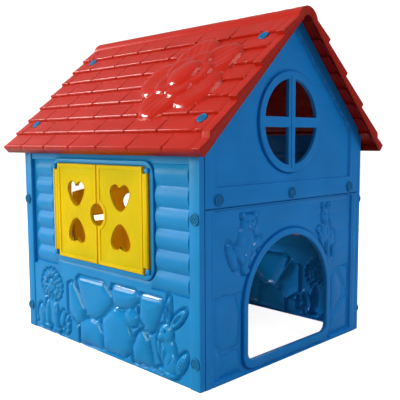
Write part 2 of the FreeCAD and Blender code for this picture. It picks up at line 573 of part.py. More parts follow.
def half_door(label):
    """The half door in the tall way in, drawn on the -Y side and turned to the back."""
    p = label
    front = f"({GABLE_FACE} + door_inset)"
    span = (front, f"{front} + door_thickness")
    through = (f"{front} - {SMALL}", f"{front} + door_thickness + {SMALL}")
    left = "(door_gap - doorway_half)"
    right = f"({DOOR_HINGE_X} - door_gap)"
    bottom = "(sill_height + door_gap)"
    slab = box(f"{p}_slab", (left, right), span, (bottom, "door_height"))
    crown = rod(f"{p}_crown", "Y", ("0", through[0], "door_height - door_crown"), "door_crown",
                f"door_thickness + {2*SMALL}")
    leaf = doc.addObject("Part::MultiCommon", f"{p}_leaf")
    leaf.Shapes = [slab, crown]
    cutters = [
        box(f"{p}_slot", ("slot_offset - slot_width/2", "slot_offset + slot_width/2"), through,
            ("slot_centre - slot_height/2", "slot_centre + slot_height/2")),
        rod(f"{p}_peephole", "Y", ("-peephole_offset", through[0], "peephole_height"), "peephole_radius",
            f"door_thickness + {2*SMALL}"),
    ]
    for level in ("door_ear_low", "door_ear_high"):
        cutters.append(box(f"{p}_{level}_notch", (f"{DOOR_HINGE_X} - notch_width", DOOR_HINGE_X), through,
                           (f"{level} - ear_height/2 - 2*ear_gap", f"{level} + ear_height/2 + 2*ear_gap")))
    cutters.append(box(f"{p}_hollow", (f"{left} + door_rim", f"{right} - door_rim"),
                       (f"{front} + skin", through[1]), (f"{bottom} + door_rim", "slot_centre - slot_height")))
    body = cut(f"{p}_body", leaf, cutters)
    low = "(door_ear_low + ear_height/2 + ear_gap)"
    high = "(door_ear_high - ear_height/2 - ear_gap)"
    barrel = rod(f"{p}_barrel", "Z", (DOOR_HINGE_X, DOOR_HINGE_Y, low), "door_barrel", f"{high} - {low}")
    pin = rod(f"{p}_pin", "Z", (DOOR_HINGE_X, DOOR_HINGE_Y, f"{low} - pin_length"), "pin_radius",
              f"{high} - {low} + 2*pin_length")
    finish(fuse(f"{p}_finished", [body, barrel, pin]), label, True)


# ---------------------------------------------------------------- roof

ROOF_TURN = FreeCAD.Vector(0, 1, 0)


def tilt(item):
    """Turn a shape drawn flat, with X down the slope, to the slope of the +X side of the roof."""
    item.Placement = FreeCAD.Placement(FreeCAD.Vector(), FreeCAD.Rotation(ROOF_TURN, 1))
    bind(item, "Placement.Rotation.Angle", "roof_pitch")
    bind(item, "Placement.Base.z", RIDGE_CENTRE)
    return item


def mirror(name, source):
    item = doc.addObject("Part::Mirroring", name)
    item.Source = source
    item.Normal = FreeCAD.Vector(1, 0, 0)
    item.Base = FreeCAD.Vector()
    return item


def roof_bolt_places(ends=(-1, 1)):
    """Where the roof bolts stand: two down the slope at each gable end, as tags and formulas."""
    return [(f"{end + 1}_{down}", down, f"{end}*({HALF_LENGTH} - roof_bolt_reach)")
            for end in ends for down in ("roof_bolt_first", "roof_bolt_second")]


def gable_roof_holes(name):
    """The bolt holes through both sloping flanges of a gable wall."""
    rods = []
    for tag, down, centre_y in roof_bolt_places((-1,)):
        rods.append(rod(f"{name}_{tag}", "Z", (down, centre_y, f"{ROOF_UNDER} - 3*skin"),
                        "bolt_radius + bolt_play", "4*skin"))
    right = tilt(gather(f"{name}_right", rods))
    return gather(f"{name}_all", [right, mirror(f"{name}_left", right)])


def step_row(name, u_span, y_span, level, height):
    """A wedge that rises down the slope from a level to a tile's lower edge."""
    wedge = doc.addObject("Part::Wedge", name)
    (u_low, u_high), (y_low, y_high) = u_span, y_span
    run = f"({u_high}) - ({u_low})"
    bind(wedge, "Xmin", "0")
    bind(wedge, "Xmax", run)
    bind(wedge, "X2min", f"{run} - 0.5")
    bind(wedge, "X2max", run)
    bind(wedge, "Ymin", "0")
    bind(wedge, "Ymax", f"{height} + 1")
    for prop in ("Zmin", "Z2min"):
        bind(wedge, prop, f"-(({y_high}) - ({y_low}))")
    for prop in ("Zmax", "Z2max"):
        bind(wedge, prop, "0")
    wedge.Placement = FreeCAD.Placement(FreeCAD.Vector(), FreeCAD.Rotation(FreeCAD.Vector(1, 0, 0), 90))
    return place(wedge, u_low, y_low, f"{level} - 1")


def roof_panel():
    """The +X roof panel, drawn flat about the centre of the ridge roll and then tilted."""
    p = "roof_panel"
    ends = (f"-{ROOF_HALF}", ROOF_HALF)
    rim_under = "(ridge_offset - rim_depth)"
    block = box(f"{p}_block", ("0", EAVE), ends, (rim_under, TILE_FACE))
    hollow = box(f"{p}_hollow", (f"-{SMALL}", f"{EAVE} - skin"),
                 (f"-{ROOF_HALF} + skin", f"{ROOF_HALF} - skin"), (f"{rim_under} - {SMALL}", ROOF_UNDER))
    roll = rod(f"{p}_roll", "Y", ("0", ends[0], "0"), "ridge_radius", f"2*{ROOF_HALF}")
    rows = []
    hollows = []
    between_flanges = (f"-{HALF_LENGTH} + gable_depth + verge_width",
                       f"{HALF_LENGTH} - gable_depth - verge_width")
    field = (f"-{ROOF_HALF} + verge_width", ROOF_HALF)
    for row in range(TILE_ROWS):
        low = "ridge_radius/2" if row == 0 else f"first_row + {row - 1}*{ROW_PITCH}"
        high = f"first_row + {row}*{ROW_PITCH}"
        rows.append(step_row(f"{p}_row_{row}", (low, high), field, TILE_FACE, "tile_step"))
        hollows.append(step_row(f"{p}_row_hollow_{row}", (low, f"{high} - skin"), between_flanges, ROOF_UNDER,
                                f"tile_step*(1 - skin/{ROW_PITCH})"))
    verge = (f"-{ROOF_HALF}", f"-{ROOF_HALF} + verge_width")
    edges = ["ridge_radius/2"]
    edges += [f"first_row + {row}*{ROW_PITCH} + verge_lag" for row in range(0, TILE_ROWS - 1, 2)]
    for number, (low, high) in enumerate(zip(edges, edges[1:])):
        rows.append(step_row(f"{p}_verge_{number}", (low, high), verge, TILE_FACE, "verge_step"))
    rows.append(step_row(f"{p}_verge_last", (edges[-1], EAVE), verge, TILE_FACE, "tile_step"))
    solid = fuse(f"{p}_solid", [block, roll] + rows)
    inner_roll = rod(f"{p}_inner_roll", "Y", ("0", f"{ends[0]} + skin", "0"), "ridge_radius - skin",
                     f"2*({ROOF_HALF} - skin)")
    open_end = rod(f"{p}_open_end", "Y", ("0", f"{ends[0]} - {SMALL}", "0"), "ridge_offset - rim_depth",
                   f"2*{ROOF_HALF} + {2*SMALL}")
    below_rim = box(f"{p}_below_rim", ("0", f"{EAVE} + {SMALL}"),
                    (f"{ends[0]} - {SMALL}", f"{ends[1]} + {SMALL}"), ("-2*ridge_radius", rim_under))
    cutters = [hollow, open_end, inner_roll] + hollows
    for tag, down, centre_y in roof_bolt_places():
        cutters.append(rod(f"{p}_head_{tag}", "Z", (down, centre_y, TILE_FACE),
                           "bolt_head_radius + head_gap", "verge_step + tile_step"))
        cutters.append(rod(f"{p}_bolt_{tag}", "Z", (down, centre_y, f"{ROOF_UNDER} - {SMALL}"),
                           "bolt_radius + bolt_play", f"skin + {2*SMALL}"))
    flat = tilt(cut(f"{p}_flat", solid, cutters + [below_rim]))
    other_side = box(f"{p}_other_side", ("-2*house_width", "ridge_seam"),
                     (f"{ends[0]} - {SMALL}", f"{ends[1]} + {SMALL}"), ("0", "2*house_length"))
    right = finish(cut(f"{p}_right", flat, [other_side]), "roof_right")
    finish(mirror(f"{p}_left", right), "roof_left")


# ---------------------------------------------------------------- bolts and nuts

def bolt(name, axis, start, grip, inward):
    """A bolt whose head rests on a face at start; inward is 1 where the shank runs along +axis."""
    x, y, z = start
    moved = {"X": 0, "Y": 1, "Z": 2}[axis]

    def shifted(offset):
        point = [x, y, z]
        point[moved] = f"{point[moved]} + {offset}"
        return tuple(point)

    head_start = shifted("-bolt_head_height") if inward > 0 else start
    shank_length = f"{grip} + nut_height"
    shank_start = start if inward > 0 else shifted(f"-({shank_length})")
    return fuse(name, [rod(f"{name}_head", axis, head_start, "bolt_head_radius", "bolt_head_height"),
                       rod(f"{name}_shank", axis, shank_start, "bolt_radius", shank_length)])


def nut(name, axis, start):
    body = rod(f"{name}_body", axis, start, "nut_radius", "nut_height")
    moved = {"X": 0, "Y": 1, "Z": 2}[axis]
    below = list(start)
    below[moved] = f"{below[moved]} - {SMALL}"
    bore = rod(f"{name}_bore", axis, tuple(below), "bolt_radius + nut_play", f"nut_height + {2*SMALL}")
    return cut(name, body, [bore])


def post_fasteners(side, turned):
    """The four bolts that hold one window wall to the two gable walls, and their nuts."""
    grip = "(post_depth + panel_gap + skin)"
    bolts = []
    nuts = []
    for end in (-1, 1):
        for level in ("post_bolt_low", "post_bolt_high"):
            centre_y = f"{end}*({HALF_LENGTH} - post_bolt_inset)"
            tag = f"{side}_{level}_{end + 1}"
            bolts.append(bolt(f"{tag}_bolt", "X", (SIDE_FACE, centre_y, level), grip, 1))
            nuts.append(nut(f"{tag}_nut", "X", (f"{SIDE_FACE} + {grip}", centre_y, level)))
    finish(gather(f"{side}_post_bolts_group", bolts), f"{side}_wall_bolts", turned)
    finish(gather(f"{side}_post_nuts_group", nuts), f"{side}_wall_nuts", turned)


def rail_fasteners(end, turned, middle):
    """The bolts through the rail of one gable wall, and their nuts."""
    grip = "(2*skin + panel_gap)"
    bolts = []
    nuts = []
    for count, across in enumerate(rail_bolt_places(middle)):
        tag = f"{end}_rail_{count}"
        bolts.append(bolt(f"{tag}_bolt", "Y", (across, GABLE_FACE, "rail_bolt_height"), grip, 1))
        nuts.append(nut(f"{tag}_nut", "Y", (across, f"{GABLE_FACE} + {grip}", "rail_bolt_height")))
    finish(gather(f"{end}_rail_bolts_group", bolts), f"{end}_rail_bolts", turned)
    finish(gather(f"{end}_rail_nuts_group", nuts), f"{end}_rail_nuts", turned)


def roof_fasteners():
    """The bolts through the roof panels into the sloping flanges of the gable walls, and their nuts."""
    grip = "(2*skin + panel_gap)"
    bolts = []
    nuts = []
    for tag, down, centre_y in roof_bolt_places():
        bolts.append(bolt(f"roof_bolt_{tag}", "Z", (down, centre_y, TILE_FACE), grip, -1))
        nuts.append(nut(f"roof_nut_{tag}", "Z", (down, centre_y, f"{TILE_FACE} - {grip} - nut_height")))
    for kind, items in (("bolts", bolts), ("nuts", nuts)):
        right = finish(tilt(gather(f"roof_{kind}_group", items)), f"roof_right_{kind}")
        finish(mirror(f"roof_{kind}_mirrored", right), f"roof_left_{kind}")


window_wall("left_wall", False)
window_wall("right_wall", True)
shutter("left_front_shutter", -1, False)
shutter("left_rear_shutter", 1, False)
shutter("right_rear_shutter", -1, True)
shutter("right_front_shutter", 1, True)
front_lower = lower_gable("front_wall", "hatch_half", "hatch_straight", "hatch_corner", True)
finish(front_lower, "front_wall")
rear_lower = lower_gable("rear_wall", "doorway_half", "seam_height", None, False)
finish(door_ears(rear_lower, "rear_wall"), "rear_wall", True)
upper_gable("front_gable", False, True)
upper_gable("rear_gable", True, False)
half_door("rear_door")
roof_panel()
post_fasteners("left", False)
post_fasteners("right", True)
rail_fasteners("front", False, True)
rail_fasteners("rear", True, False)
roof_fasteners()

doc.recompute()

failed = [item.Name for item in doc.Objects if "Invalid" in item.State or "Error" in item.State]
if failed:
    raise RuntimeError(f"these objects did not compute: {failed}")
for item in subparts:
    if item.Shape.isNull() or not item.Shape.isValid():
        raise RuntimeError(f"{item.Label} has no valid shape")

os.makedirs("parts", exist_ok=True)
for item in subparts:
    item.Shape.exportStep(f"parts/{item.Label}.step")
    print(item.Label, len(item.Shape.Solids), round(item.Shape.Volume/1e6, 3), item.Shape.BoundBox)
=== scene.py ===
import math

import bmesh
import bpy
import numpy as np
from mathutils import Matrix, Vector


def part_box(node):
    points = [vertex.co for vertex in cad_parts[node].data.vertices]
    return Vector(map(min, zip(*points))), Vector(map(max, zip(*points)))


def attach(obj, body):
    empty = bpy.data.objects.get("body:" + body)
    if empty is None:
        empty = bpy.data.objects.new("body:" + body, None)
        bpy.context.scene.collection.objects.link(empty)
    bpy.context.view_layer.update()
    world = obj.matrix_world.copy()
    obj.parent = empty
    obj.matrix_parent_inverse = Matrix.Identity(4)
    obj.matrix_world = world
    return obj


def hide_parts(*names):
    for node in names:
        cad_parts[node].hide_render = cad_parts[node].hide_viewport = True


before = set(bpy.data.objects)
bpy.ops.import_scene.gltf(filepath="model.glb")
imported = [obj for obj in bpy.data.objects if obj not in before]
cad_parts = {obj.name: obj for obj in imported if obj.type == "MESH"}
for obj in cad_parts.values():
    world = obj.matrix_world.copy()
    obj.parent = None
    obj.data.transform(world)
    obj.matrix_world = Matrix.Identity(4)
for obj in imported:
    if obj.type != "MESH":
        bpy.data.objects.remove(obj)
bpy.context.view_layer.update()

bl_info = {
    "name": "Garden Playhouse",
    "version": (1, 0, 0),
    "blender": (4, 5, 0),
    "location": "View3D > Sidebar > Playhouse",
    "description": "Builds a child's playhouse of moulded plastic panels around its packed frame",
    "category": "Object",
}

# Every shape is drawn in millimetres and brought to metres when its piece is finished.
METRE = 1000.0


def node_box(node):
    """A node's lowest and highest corners in millimetres."""
    low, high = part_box(node)
    return Vector(low)*METRE, Vector(high)*METRE


# ------------------------------------------------------------------ places read from the frame

POST_DEPTH = 20.0
HEAD_RADIUS = 16.0
HEAD_HEIGHT = 5.0
PANEL_DEPTH = 36.0
RIM_DEPTH = 20.8
SIDE_INNER = node_box("right_wall")[0].x
SIDE_FACE = SIDE_INNER + POST_DEPTH
SIDE_TOP = node_box("right_wall")[1].z
HALF_LENGTH = -node_box("front_wall")[0].y
PANEL_HALF = node_box("front_wall")[1].x
UPPER_BOTTOM = node_box("front_gable")[0].z
ROOF_HALF = node_box("roof_right")[1].y
ROOF_EDGE = node_box("roof_right")[1].x
RIDGE_TOP = node_box("roof_right")[1].z
GABLE_TOP = node_box("front_gable")[1].z
PITCH = math.radians(43.6)
PEAK_FLAT = 14.0
GABLE_PEAK = GABLE_TOP + PEAK_FLAT*math.tan(PITCH)

# Window walls: u runs towards the front gable, v is the height.
POST_WIDTH = 40.0
WINDOW_MIDDLE = 444.3
SHUTTER_OUTER = 248.0
SHUTTER_HALF = 158.0
WINDOW_HALF = 222.0
WINDOW_HALF_HEIGHT = 132.0
FRAME_WIDTH = 14.0
FRAME_CORNER = 40.0
LEDGE_DEPTH = 6.0
LOG_LOW = 250.0
LOG_PITCH = 60.0
LOG_TOP = 610.0
STONE_FLOOR = -12.0
CHANNEL = -15.0
HINGE_OUT = 5.0
HINGE_INSET = 7.0
EAR_HEIGHT = 14.0
EAR_WIDTH = 16.0
EAR_INSET = 4.0
LOG_TIP = -383.0
LOG_STOP = 407.0
HEART_REACH = 115.0
HEART_RISE = 60.5

# Gable walls: u runs across, v is the height.
BORDER = 31.5
FIELD = -9.0
RAIL_TOP = 547.0
HATCH_HALF = 199.0
HATCH_SPRING = 186.0
HATCH_CORNER = 25.0
HATCH_FRAME = 19.0
SILL = 37.0
BASE_BAND = 12.0
PORTHOLE = 128.0
PORTHOLE_FRAME = 23.0
PORTHOLE_MIDDLE = 726.0
MULLION = 31.0
DOORWAY_HALF = 213.0
DOORWAY_SPRING = 490.0
DOOR_EARS = (85.0, 402.0)
RAIL_BOLT_HEIGHT = 514.0
TONGUE = (470.0, 543.0)

# Roof: d runs down the slope from under the ridge, u towards the front gable.
RIDGE_RADIUS = 50.0
RIDGE_CENTRE = RIDGE_TOP - RIDGE_RADIUS
TILE_FACE = 44.8
TILE_STEP = 8.0
TILE_ROWS = 8
LIP = 6.0
FIRST_ROW = 94.0
EAVE = (ROOF_EDGE - (TILE_FACE + TILE_STEP)*math.sin(PITCH))/math.cos(PITCH)
ROW_PITCH = (EAVE - FIRST_ROW)/(TILE_ROWS - 1)
VERGE = 27.0
VERGE_STEP = 13.5
VERGE_ENDS = [FIRST_ROW + row*ROW_PITCH + 14.0 for row in (0, 2, 4, 6)]
TILE_WIDTH = 147.0
JOINT_HALF = 4.8
FLOWER_MIDDLE = (226.0, 266.0)
ROOF_BOLTS = (104.6, 451.6)
ROOF_BOLT_REACH = 25.0

SHUTTERS = {
    "left_front_shutter": (1, False),
    "left_rear_shutter": (-1, False),
    "right_rear_shutter": (1, True),
    "right_front_shutter": (-1, True),
}


# ------------------------------------------------------------------ sizes and colours a user may change

class PlayhouseReliefs(bpy.types.PropertyGroup):
    skin: bpy.props.FloatProperty(
        name="Skin", description="Thickness of the moulded panels", default=0.003, unit="LENGTH")
    stone_height: bpy.props.FloatProperty(
        name="Stones", description="How far the stones stand out of their joints", default=0.0145,
        unit="LENGTH")
    figure_height: bpy.props.FloatProperty(
        name="Animals", description="Scale of the relief of the moulded animals", default=1.0,
        subtype="FACTOR")
    flower_height: bpy.props.FloatProperty(
        name="Flower", description="Height of the flower's middle on the roof", default=0.020, unit="LENGTH")
    joint_depth: bpy.props.FloatProperty(
        name="Tile joints", description="Depth of the joints between roof tiles", default=0.006,
        unit="LENGTH")


class PlayhouseColours(bpy.types.PropertyGroup):
    wall: bpy.props.FloatVectorProperty(
        name="Walls", description="Plastic of the walls", size=3, subtype="COLOR", min=0, max=1,
        default=(0.005, 0.185, 0.550))
    roof: bpy.props.FloatVectorProperty(
        name="Roof", description="Plastic of the roof", size=3, subtype="COLOR", min=0, max=1,
        default=(0.345, 0.010, 0.004))
    shutter: bpy.props.FloatVectorProperty(
        name="Shutters", description="Plastic of the shutters and the half door", size=3, subtype="COLOR",
        min=0, max=1, default=(0.760, 0.660, 0.0))
    bolt: bpy.props.FloatVectorProperty(
        name="Bolts", description="Plastic of the bolts and nuts", size=3, subtype="COLOR", min=0, max=1,
        default=(0.006, 0.140, 0.380))


def reliefs():
    return bpy.context.scene.playhouse_reliefs


def colours():
    return bpy.context.scene.playhouse_colours


# ------------------------------------------------------------------ profiles

def ease(t):
    """A smooth step from 0 to 1."""
    t = np.clip(t, 0.0, 1.0)
    return t*t*(3.0 - 2.0*t)


def dome(t):
    """A quarter-round rise from 0 to 1."""
    t = np.clip(t, 0.0, 1.0)
    return np.sqrt(t*(2.0 - t))


def sunk(h, near, floor, soft=8.0):
    """Press the surface down to a floor where near is positive, with a soft shoulder outside it."""
    return h + (np.minimum(h, floor) - h)*ease((near + soft)/soft)


def slab_depth(u, v, half, low, high, corner):
    """How far a point lies inside a rectangle with rounded corners."""
    middle = (low + high)/2.0
    du = np.abs(u) - (half - corner)
    dv = np.abs(v - middle) - ((high - low)/2.0 - corner)
    outside = np.hypot(np.maximum(du, 0.0), np.maximum(dv, 0.0))
    return corner - outside - np.minimum(np.maximum(du, dv), 0.0)


def arch_depth(u, v, half, spring, low):
    """How far a point lies inside a round-headed opening."""
    straight = np.minimum(half - np.abs(u), v - low)
    head = half - np.hypot(u, v - spring)
    return np.where(v > spring, head, straight)


def outline_depth(u, v, points):
    """How far a point lies inside an outline, negative outside it."""
    nearest = np.full(np.shape(u), 1e9)
    inside = np.zeros(np.shape(u), dtype=bool)
    for (au, av), (bu, bv) in zip(points, points[1:] + points[:1]):
        eu, ev = bu - au, bv - av
        along = np.clip(((u - au)*eu + (v - av)*ev)/(eu*eu + ev*ev), 0.0, 1.0)
        nearest = np.minimum(nearest, np.hypot(u - au - along*eu, v - av - along*ev))
        crosses = (av > v) != (bv > v)
        if ev != 0.0:
            inside ^= crosses & (u < au + (v - av)*eu/ev)
    return np.where(inside, nearest, -nearest)


def oval(u, v, part):
    """Ratio of a point's distance from the middle of a turned oval, 1 on its edge, and its small radius."""
    cu, cv, ru, rv, turn, rise = part
    c, s = math.cos(math.radians(turn)), math.sin(math.radians(turn))
    a = (u - cu)*c + (v - cv)*s
    b = (v - cv)*c - (u - cu)*s
    return np.hypot(a/ru, b/rv), min(ru, rv)


def add_figure(h, polish, u, v, parts, floor):
    """Press a figure made of ovals into a wall: a trench around it and a rounded body inside."""
    scale = reliefs().figure_height
    depth = np.full(np.shape(u), -1e9)
    body = np.zeros(np.shape(u))
    lines = np.zeros(np.shape(u))
    for part in parts:
        ratio, small = oval(u, v, part)
        rise = part[5]
        if rise > 0:
            depth = np.maximum(depth, (1.0 - ratio)*small)
            ball = np.sqrt(np.clip(1.0 - ratio**2, 0, 1))
            body = np.maximum(body, rise*(0.45*dome((1.0 - ratio)*2.2) + 0.55*ball))
        else:
            lines = np.minimum(lines, rise*ease(1.6*(1.0 - ratio)))
    trench = 7.0
    outside = h + (floor - h)*ease((depth + trench)/trench)*(depth < 0)
    inside = floor + (body + lines)*scale
    h = np.where(depth > 0, inside, outside)
    return h, np.maximum(polish, ease((depth + trench)/trench))


def add_stones(h, polish, u, v, stones, floor, rise, roundness=24.0, bed=8.0, gap=-1.5):
    """Raise rounded stones out of a sunk bed that ends a little way outside them."""
    depth = np.full(np.shape(u), -1e9)
    for stone in stones:
        depth = np.maximum(depth, outline_depth(u, v, stone) - gap)
    outside = h + (floor - h)*ease((depth + bed)/bed*1.6)*(depth < 0)
    inside = floor + rise*(0.78*dome(depth/roundness) + 0.22*ease(depth/50.0))
    h = np.where(depth > 0, inside, outside)
    return h, np.maximum(polish, ease((depth + bed)/bed))


def lines_between(low, high, step, fine=(), features=()):
    """Sorted grid lines: a plain step, a finer one over some spans, and lines beside each feature."""
    spots = list(np.linspace(low, high, max(2, int(round((high - low)/step)) + 1)))
    for start, end, fine_step in fine:
        spots = [s for s in spots if not start < s < end]
        spots += list(np.linspace(start, end, int(round((end - start)/fine_step)) + 1))
    for place, offsets in features:
        spots = [s for s in spots if not place + min(offsets) - 1 < s < place + max(offsets) + 1
                 or s in (low, high)]
        spots += [place + offset for offset in offsets if low <= place + offset <= high]
    spots = sorted(spots)
    kept = [spots[0]]
    for s in spots[1:]:
        if s - kept[-1] > 0.35:
            kept.append(s)
    kept[-1] = high
    return np.array(kept)


# ------------------------------------------------------------------ making meshes

def moulded_sheet(us, vs, shape, hole=None):
    """A grid of faces over the lines us and vs, shaped by shape(i, j, u, v) and opened by hole(u, v)."""
    bm = bmesh.new()
    nu, nv = len(us) - 1, len(vs) - 1
    bmesh.ops.create_grid(bm, x_segments=nu, y_segments=nv, size=0.5)
    bm.verts.ensure_lookup_table()
    corners = np.array([vert.co[:] for vert in bm.verts])
    i = np.rint((corners[:, 0] + 0.5)*nu).astype(int)
    j = np.rint((corners[:, 1] + 0.5)*nv).astype(int)
    u, v = us[i], vs[j]
    points, polish = shape(i, j, u, v)
    layer = bm.verts.layers.float.new("polish")
    for vert, point, value in zip(bm.verts, points.tolist(), polish.tolist()):
        vert.co = point
        vert[layer] = value
    if hole is not None:
        open_here = hole(u, v)
        bmesh.ops.delete(bm, geom=[face for face in bm.faces
                                   if all(open_here[vert.index] for vert in face.verts)], context="FACES")
    return bm


def plate(outlines, thickness, edge=1.2, top=0.0, segments=2):
    """A flat plate in X and Y, outlined and pierced by closed lines, with all its rims rounded."""
    bm = bmesh.new()
    for outline in outlines:
        verts = [bm.verts.new((x, y, 0.0)) for x, y in outline]
        for a, b in zip(verts, verts[1:] + verts[:1]):
            bm.edges.new((a, b))
    bmesh.ops.triangle_fill(bm, use_beauty=True, use_dissolve=True, edges=bm.edges[:], normal=(0, 0, 1))
    lower = bmesh.ops.extrude_face_region(bm, geom=bm.faces[:])["geom"]
    lower = [part for part in lower if isinstance(part, bmesh.types.BMVert)]
    bmesh.ops.translate(bm, verts=lower, vec=(0, 0, -thickness))
    bmesh.ops.recalc_face_normals(bm, faces=bm.faces[:])
    rims = [e for e in bm.edges if len(e.link_faces) == 2 and e.calc_face_angle() > math.radians(60)
            and abs(e.verts[0].co.z - e.verts[1].co.z) < 1e-6]
    bmesh.ops.bevel(bm, geom=rims, offset=edge, offset_type="OFFSET", segments=segments, profile=0.5,
                    affect="EDGES", material=-1, clamp_overlap=True)
    bmesh.ops.translate(bm, verts=bm.verts[:], vec=(0, 0, top))
    return bm


def block(low, high, edge=1.5, segments=3):
    """A box between two corners with rounded edges."""
    bm = bmesh.new()
    bmesh.ops.create_cube(bm, size=1.0)
    low, high = Vector(low), Vector(high)
    size = high - low
    bmesh.ops.scale(bm, verts=bm.verts[:], vec=size)
    bmesh.ops.translate(bm, verts=bm.verts[:], vec=(low + high)/2.0)
    bmesh.ops.bevel(bm, geom=bm.edges[:], offset=edge, offset_type="OFFSET", segments=segments, profile=0.5,
                    affect="EDGES", material=-1, clamp_overlap=True)
    return bm


def turned_part(profile, steps=32):
    """A round part about Z, spun from points of radius and height."""
    bm = bmesh.new()
    verts = [bm.verts.new((radius, 0.0, height)) for radius, height in profile]
    edges = [bm.edges.new(pair) for pair in zip(verts, verts[1:])]
    bmesh.ops.spin(bm, geom=verts + edges, cent=(0, 0, 0), axis=(0, 0, 1), angle=2*math.pi, steps=steps,
                   use_merge=True)
    bmesh.ops.remove_doubles(bm, verts=bm.verts[:], dist=0.001)
    bmesh.ops.recalc_face_normals(bm, faces=bm.faces[:])
    return bm


def moved(bm, matrix):
    bmesh.ops.transform(bm, matrix=matrix, verts=bm.verts[:])
    return bm


def gathered(parts):
    """All parts in one bmesh."""
    whole = bmesh.new()
    whole.verts.layers.float.new("polish")
    for part in parts:
        if "polish" not in part.verts.layers.float:
            part.verts.layers.float.new("polish")
        carrier = bpy.data.meshes.new("carrier")
        part.to_mesh(carrier)
        part.free()
        whole.from_mesh(carrier)
        bpy.data.meshes.remove(carrier)
    return whole


def finish_piece(name, bm, material, body, nodes=(), skin=0.0):
    """Turn a bmesh in millimetres into a piece that rides on its body."""
    bmesh.ops.scale(bm, vec=Vector((1, 1, 1))/METRE, verts=bm.verts[:])
    mesh = bpy.data.meshes.new(name)
    bm.to_mesh(mesh)
    bm.free()
    mesh.shade_smooth()
    mesh.set_sharp_from_angle(angle=math.radians(38))
    mesh.materials.append(material)
    piece = bpy.data.objects.new(name, mesh)
    bpy.context.scene.collection.objects.link(piece)
    if skin:
        solid = piece.modifiers.new("Skin", "SOLIDIFY")
        solid.thickness = skin
        solid.offset = -1.0
        solid.use_even_offset = False
    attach(piece, body)
    if nodes:
        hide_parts(*nodes)


def wall_piece(name, bm, nodes=(), skin=0.0):
    """A piece of the blue walls."""
    finish_piece(name, bm, plastic("wall"), "house", nodes, skin)


HALF_TURN = Matrix.Rotation(math.pi, 4, "Z")


def side_place(out=0.0, turned=False):
    """From a window wall's u, v and distance out to the house."""
    axes = Matrix(((0, 0, -1), (-1, 0, 0), (0, 1, 0))).to_4x4()
    place = Matrix.Translation((-(SIDE_FACE + out), 0, 0)) @ axes
    return HALF_TURN @ place if turned else place


def gable_place(out=0.0, turned=False):
    """From a gable wall's u, v and distance out to the house."""
    axes = Matrix(((1, 0, 0), (0, 0, -1), (0, 1, 0))).to_4x4()
    place = Matrix.Translation((0, -(HALF_LENGTH + out), 0)) @ axes
    return HALF_TURN @ place if turned else place


def arc(cu, cv, radius, start, end, steps):
    """Points along an arc, in degrees."""
    angles = [math.radians(start + (end - start)*k/steps) for k in range(steps + 1)]
    return [(cu + radius*math.cos(a), cv + radius*math.sin(a)) for a in angles]


def round_slab(half, low, high, corner, steps=8, cu=0.0):
    """The outline of a rectangle with rounded corners."""
    left, right = cu - half + corner, cu + half - corner
    low, high = low + corner, high - corner
    return (arc(right, low, corner, -90, 0, steps) + arc(right, high, corner, 0, 90, steps)
            + arc(left, high, corner, 90, 180, steps) + arc(left, low, corner, 180, 270, steps))


def arch_outline(half, spring, low, corner, steps=40):
    """The outline of a round-headed opening with rounded lower corners."""
    return (arc(half - corner, low + corner, corner, -90, 0, 6) + arc(0, spring, half, 0, 180, steps)
            + arc(-half + corner, low + corner, corner, 180, 270, 6))


def circle(cu, cv, radius, steps=48):
    return arc(cu, cv, radius, 0, 360, steps)[:-1]


# ------------------------------------------------------------------ the moulded figures

def ring_of(cu, cv, reach_u, reach_v, count, radius, rise, first=0.0):
    """Ovals spaced around a middle, such as the locks of a mane."""
    parts = []
    for k in range(count):
        angle = math.radians(first + 360.0*k/count)
        parts.append((cu + reach_u*math.cos(angle), cv + reach_v*math.sin(angle), radius*1.25, radius,
                      math.degrees(angle), rise))
    return parts


def both_sides(cu, part):
    """A part and its mirror image about a line of symmetry."""
    u, v, ru, rv, turn, rise = part
    return [part, (2*cu - u, v, ru, rv, -turn, rise)]


def lion_cub():
    """A sitting cub with a curly mane, beside the stones."""
    face = -292.0
    parts = ring_of(face, 172, 55, 48, 17, 10, 11, first=10)
    parts += ring_of(face, 174, 39, 36, 13, 10, 15, first=25)
    parts += [(face - 4, 168, 29, 31, 0, 13), (face - 8, 152, 17, 14, 0, 19), (face - 8, 159, 7, 5, 0, 22)]
    parts += both_sides(face - 4, (face - 17, 176, 5, 7, 0, -6))
    parts += both_sides(face - 8, (face - 18, 145, 2.5, 8, 50, -4))
    parts += [(-296, 80, 42, 56, 0, 10), (-364, 52, 26, 42, 8, 14), (-322, 66, 20, 54, -4, 16),
              (-270, 62, 22, 54, 6, 18), (-368, 20, 24, 11, 0, 14), (-326, 20, 24, 12, 0, 17),
              (-266, 19, 26, 12, 0, 18), (-232, 62, 16, 34, -20, 12)]
    parts += [(-334 + 9*k, 17, 2, 7, 0, -4) for k in (0, 1)]
    parts += [(-271 + 10*k, 16, 2, 7, 0, -4) for k in (0, 1)]
    parts += [(-206 + 12*math.cos(k), 46 + 24*math.sin(k), 10, 20, -36 + 14*k, 14) for k in (-1, 0, 1)]
    return parts


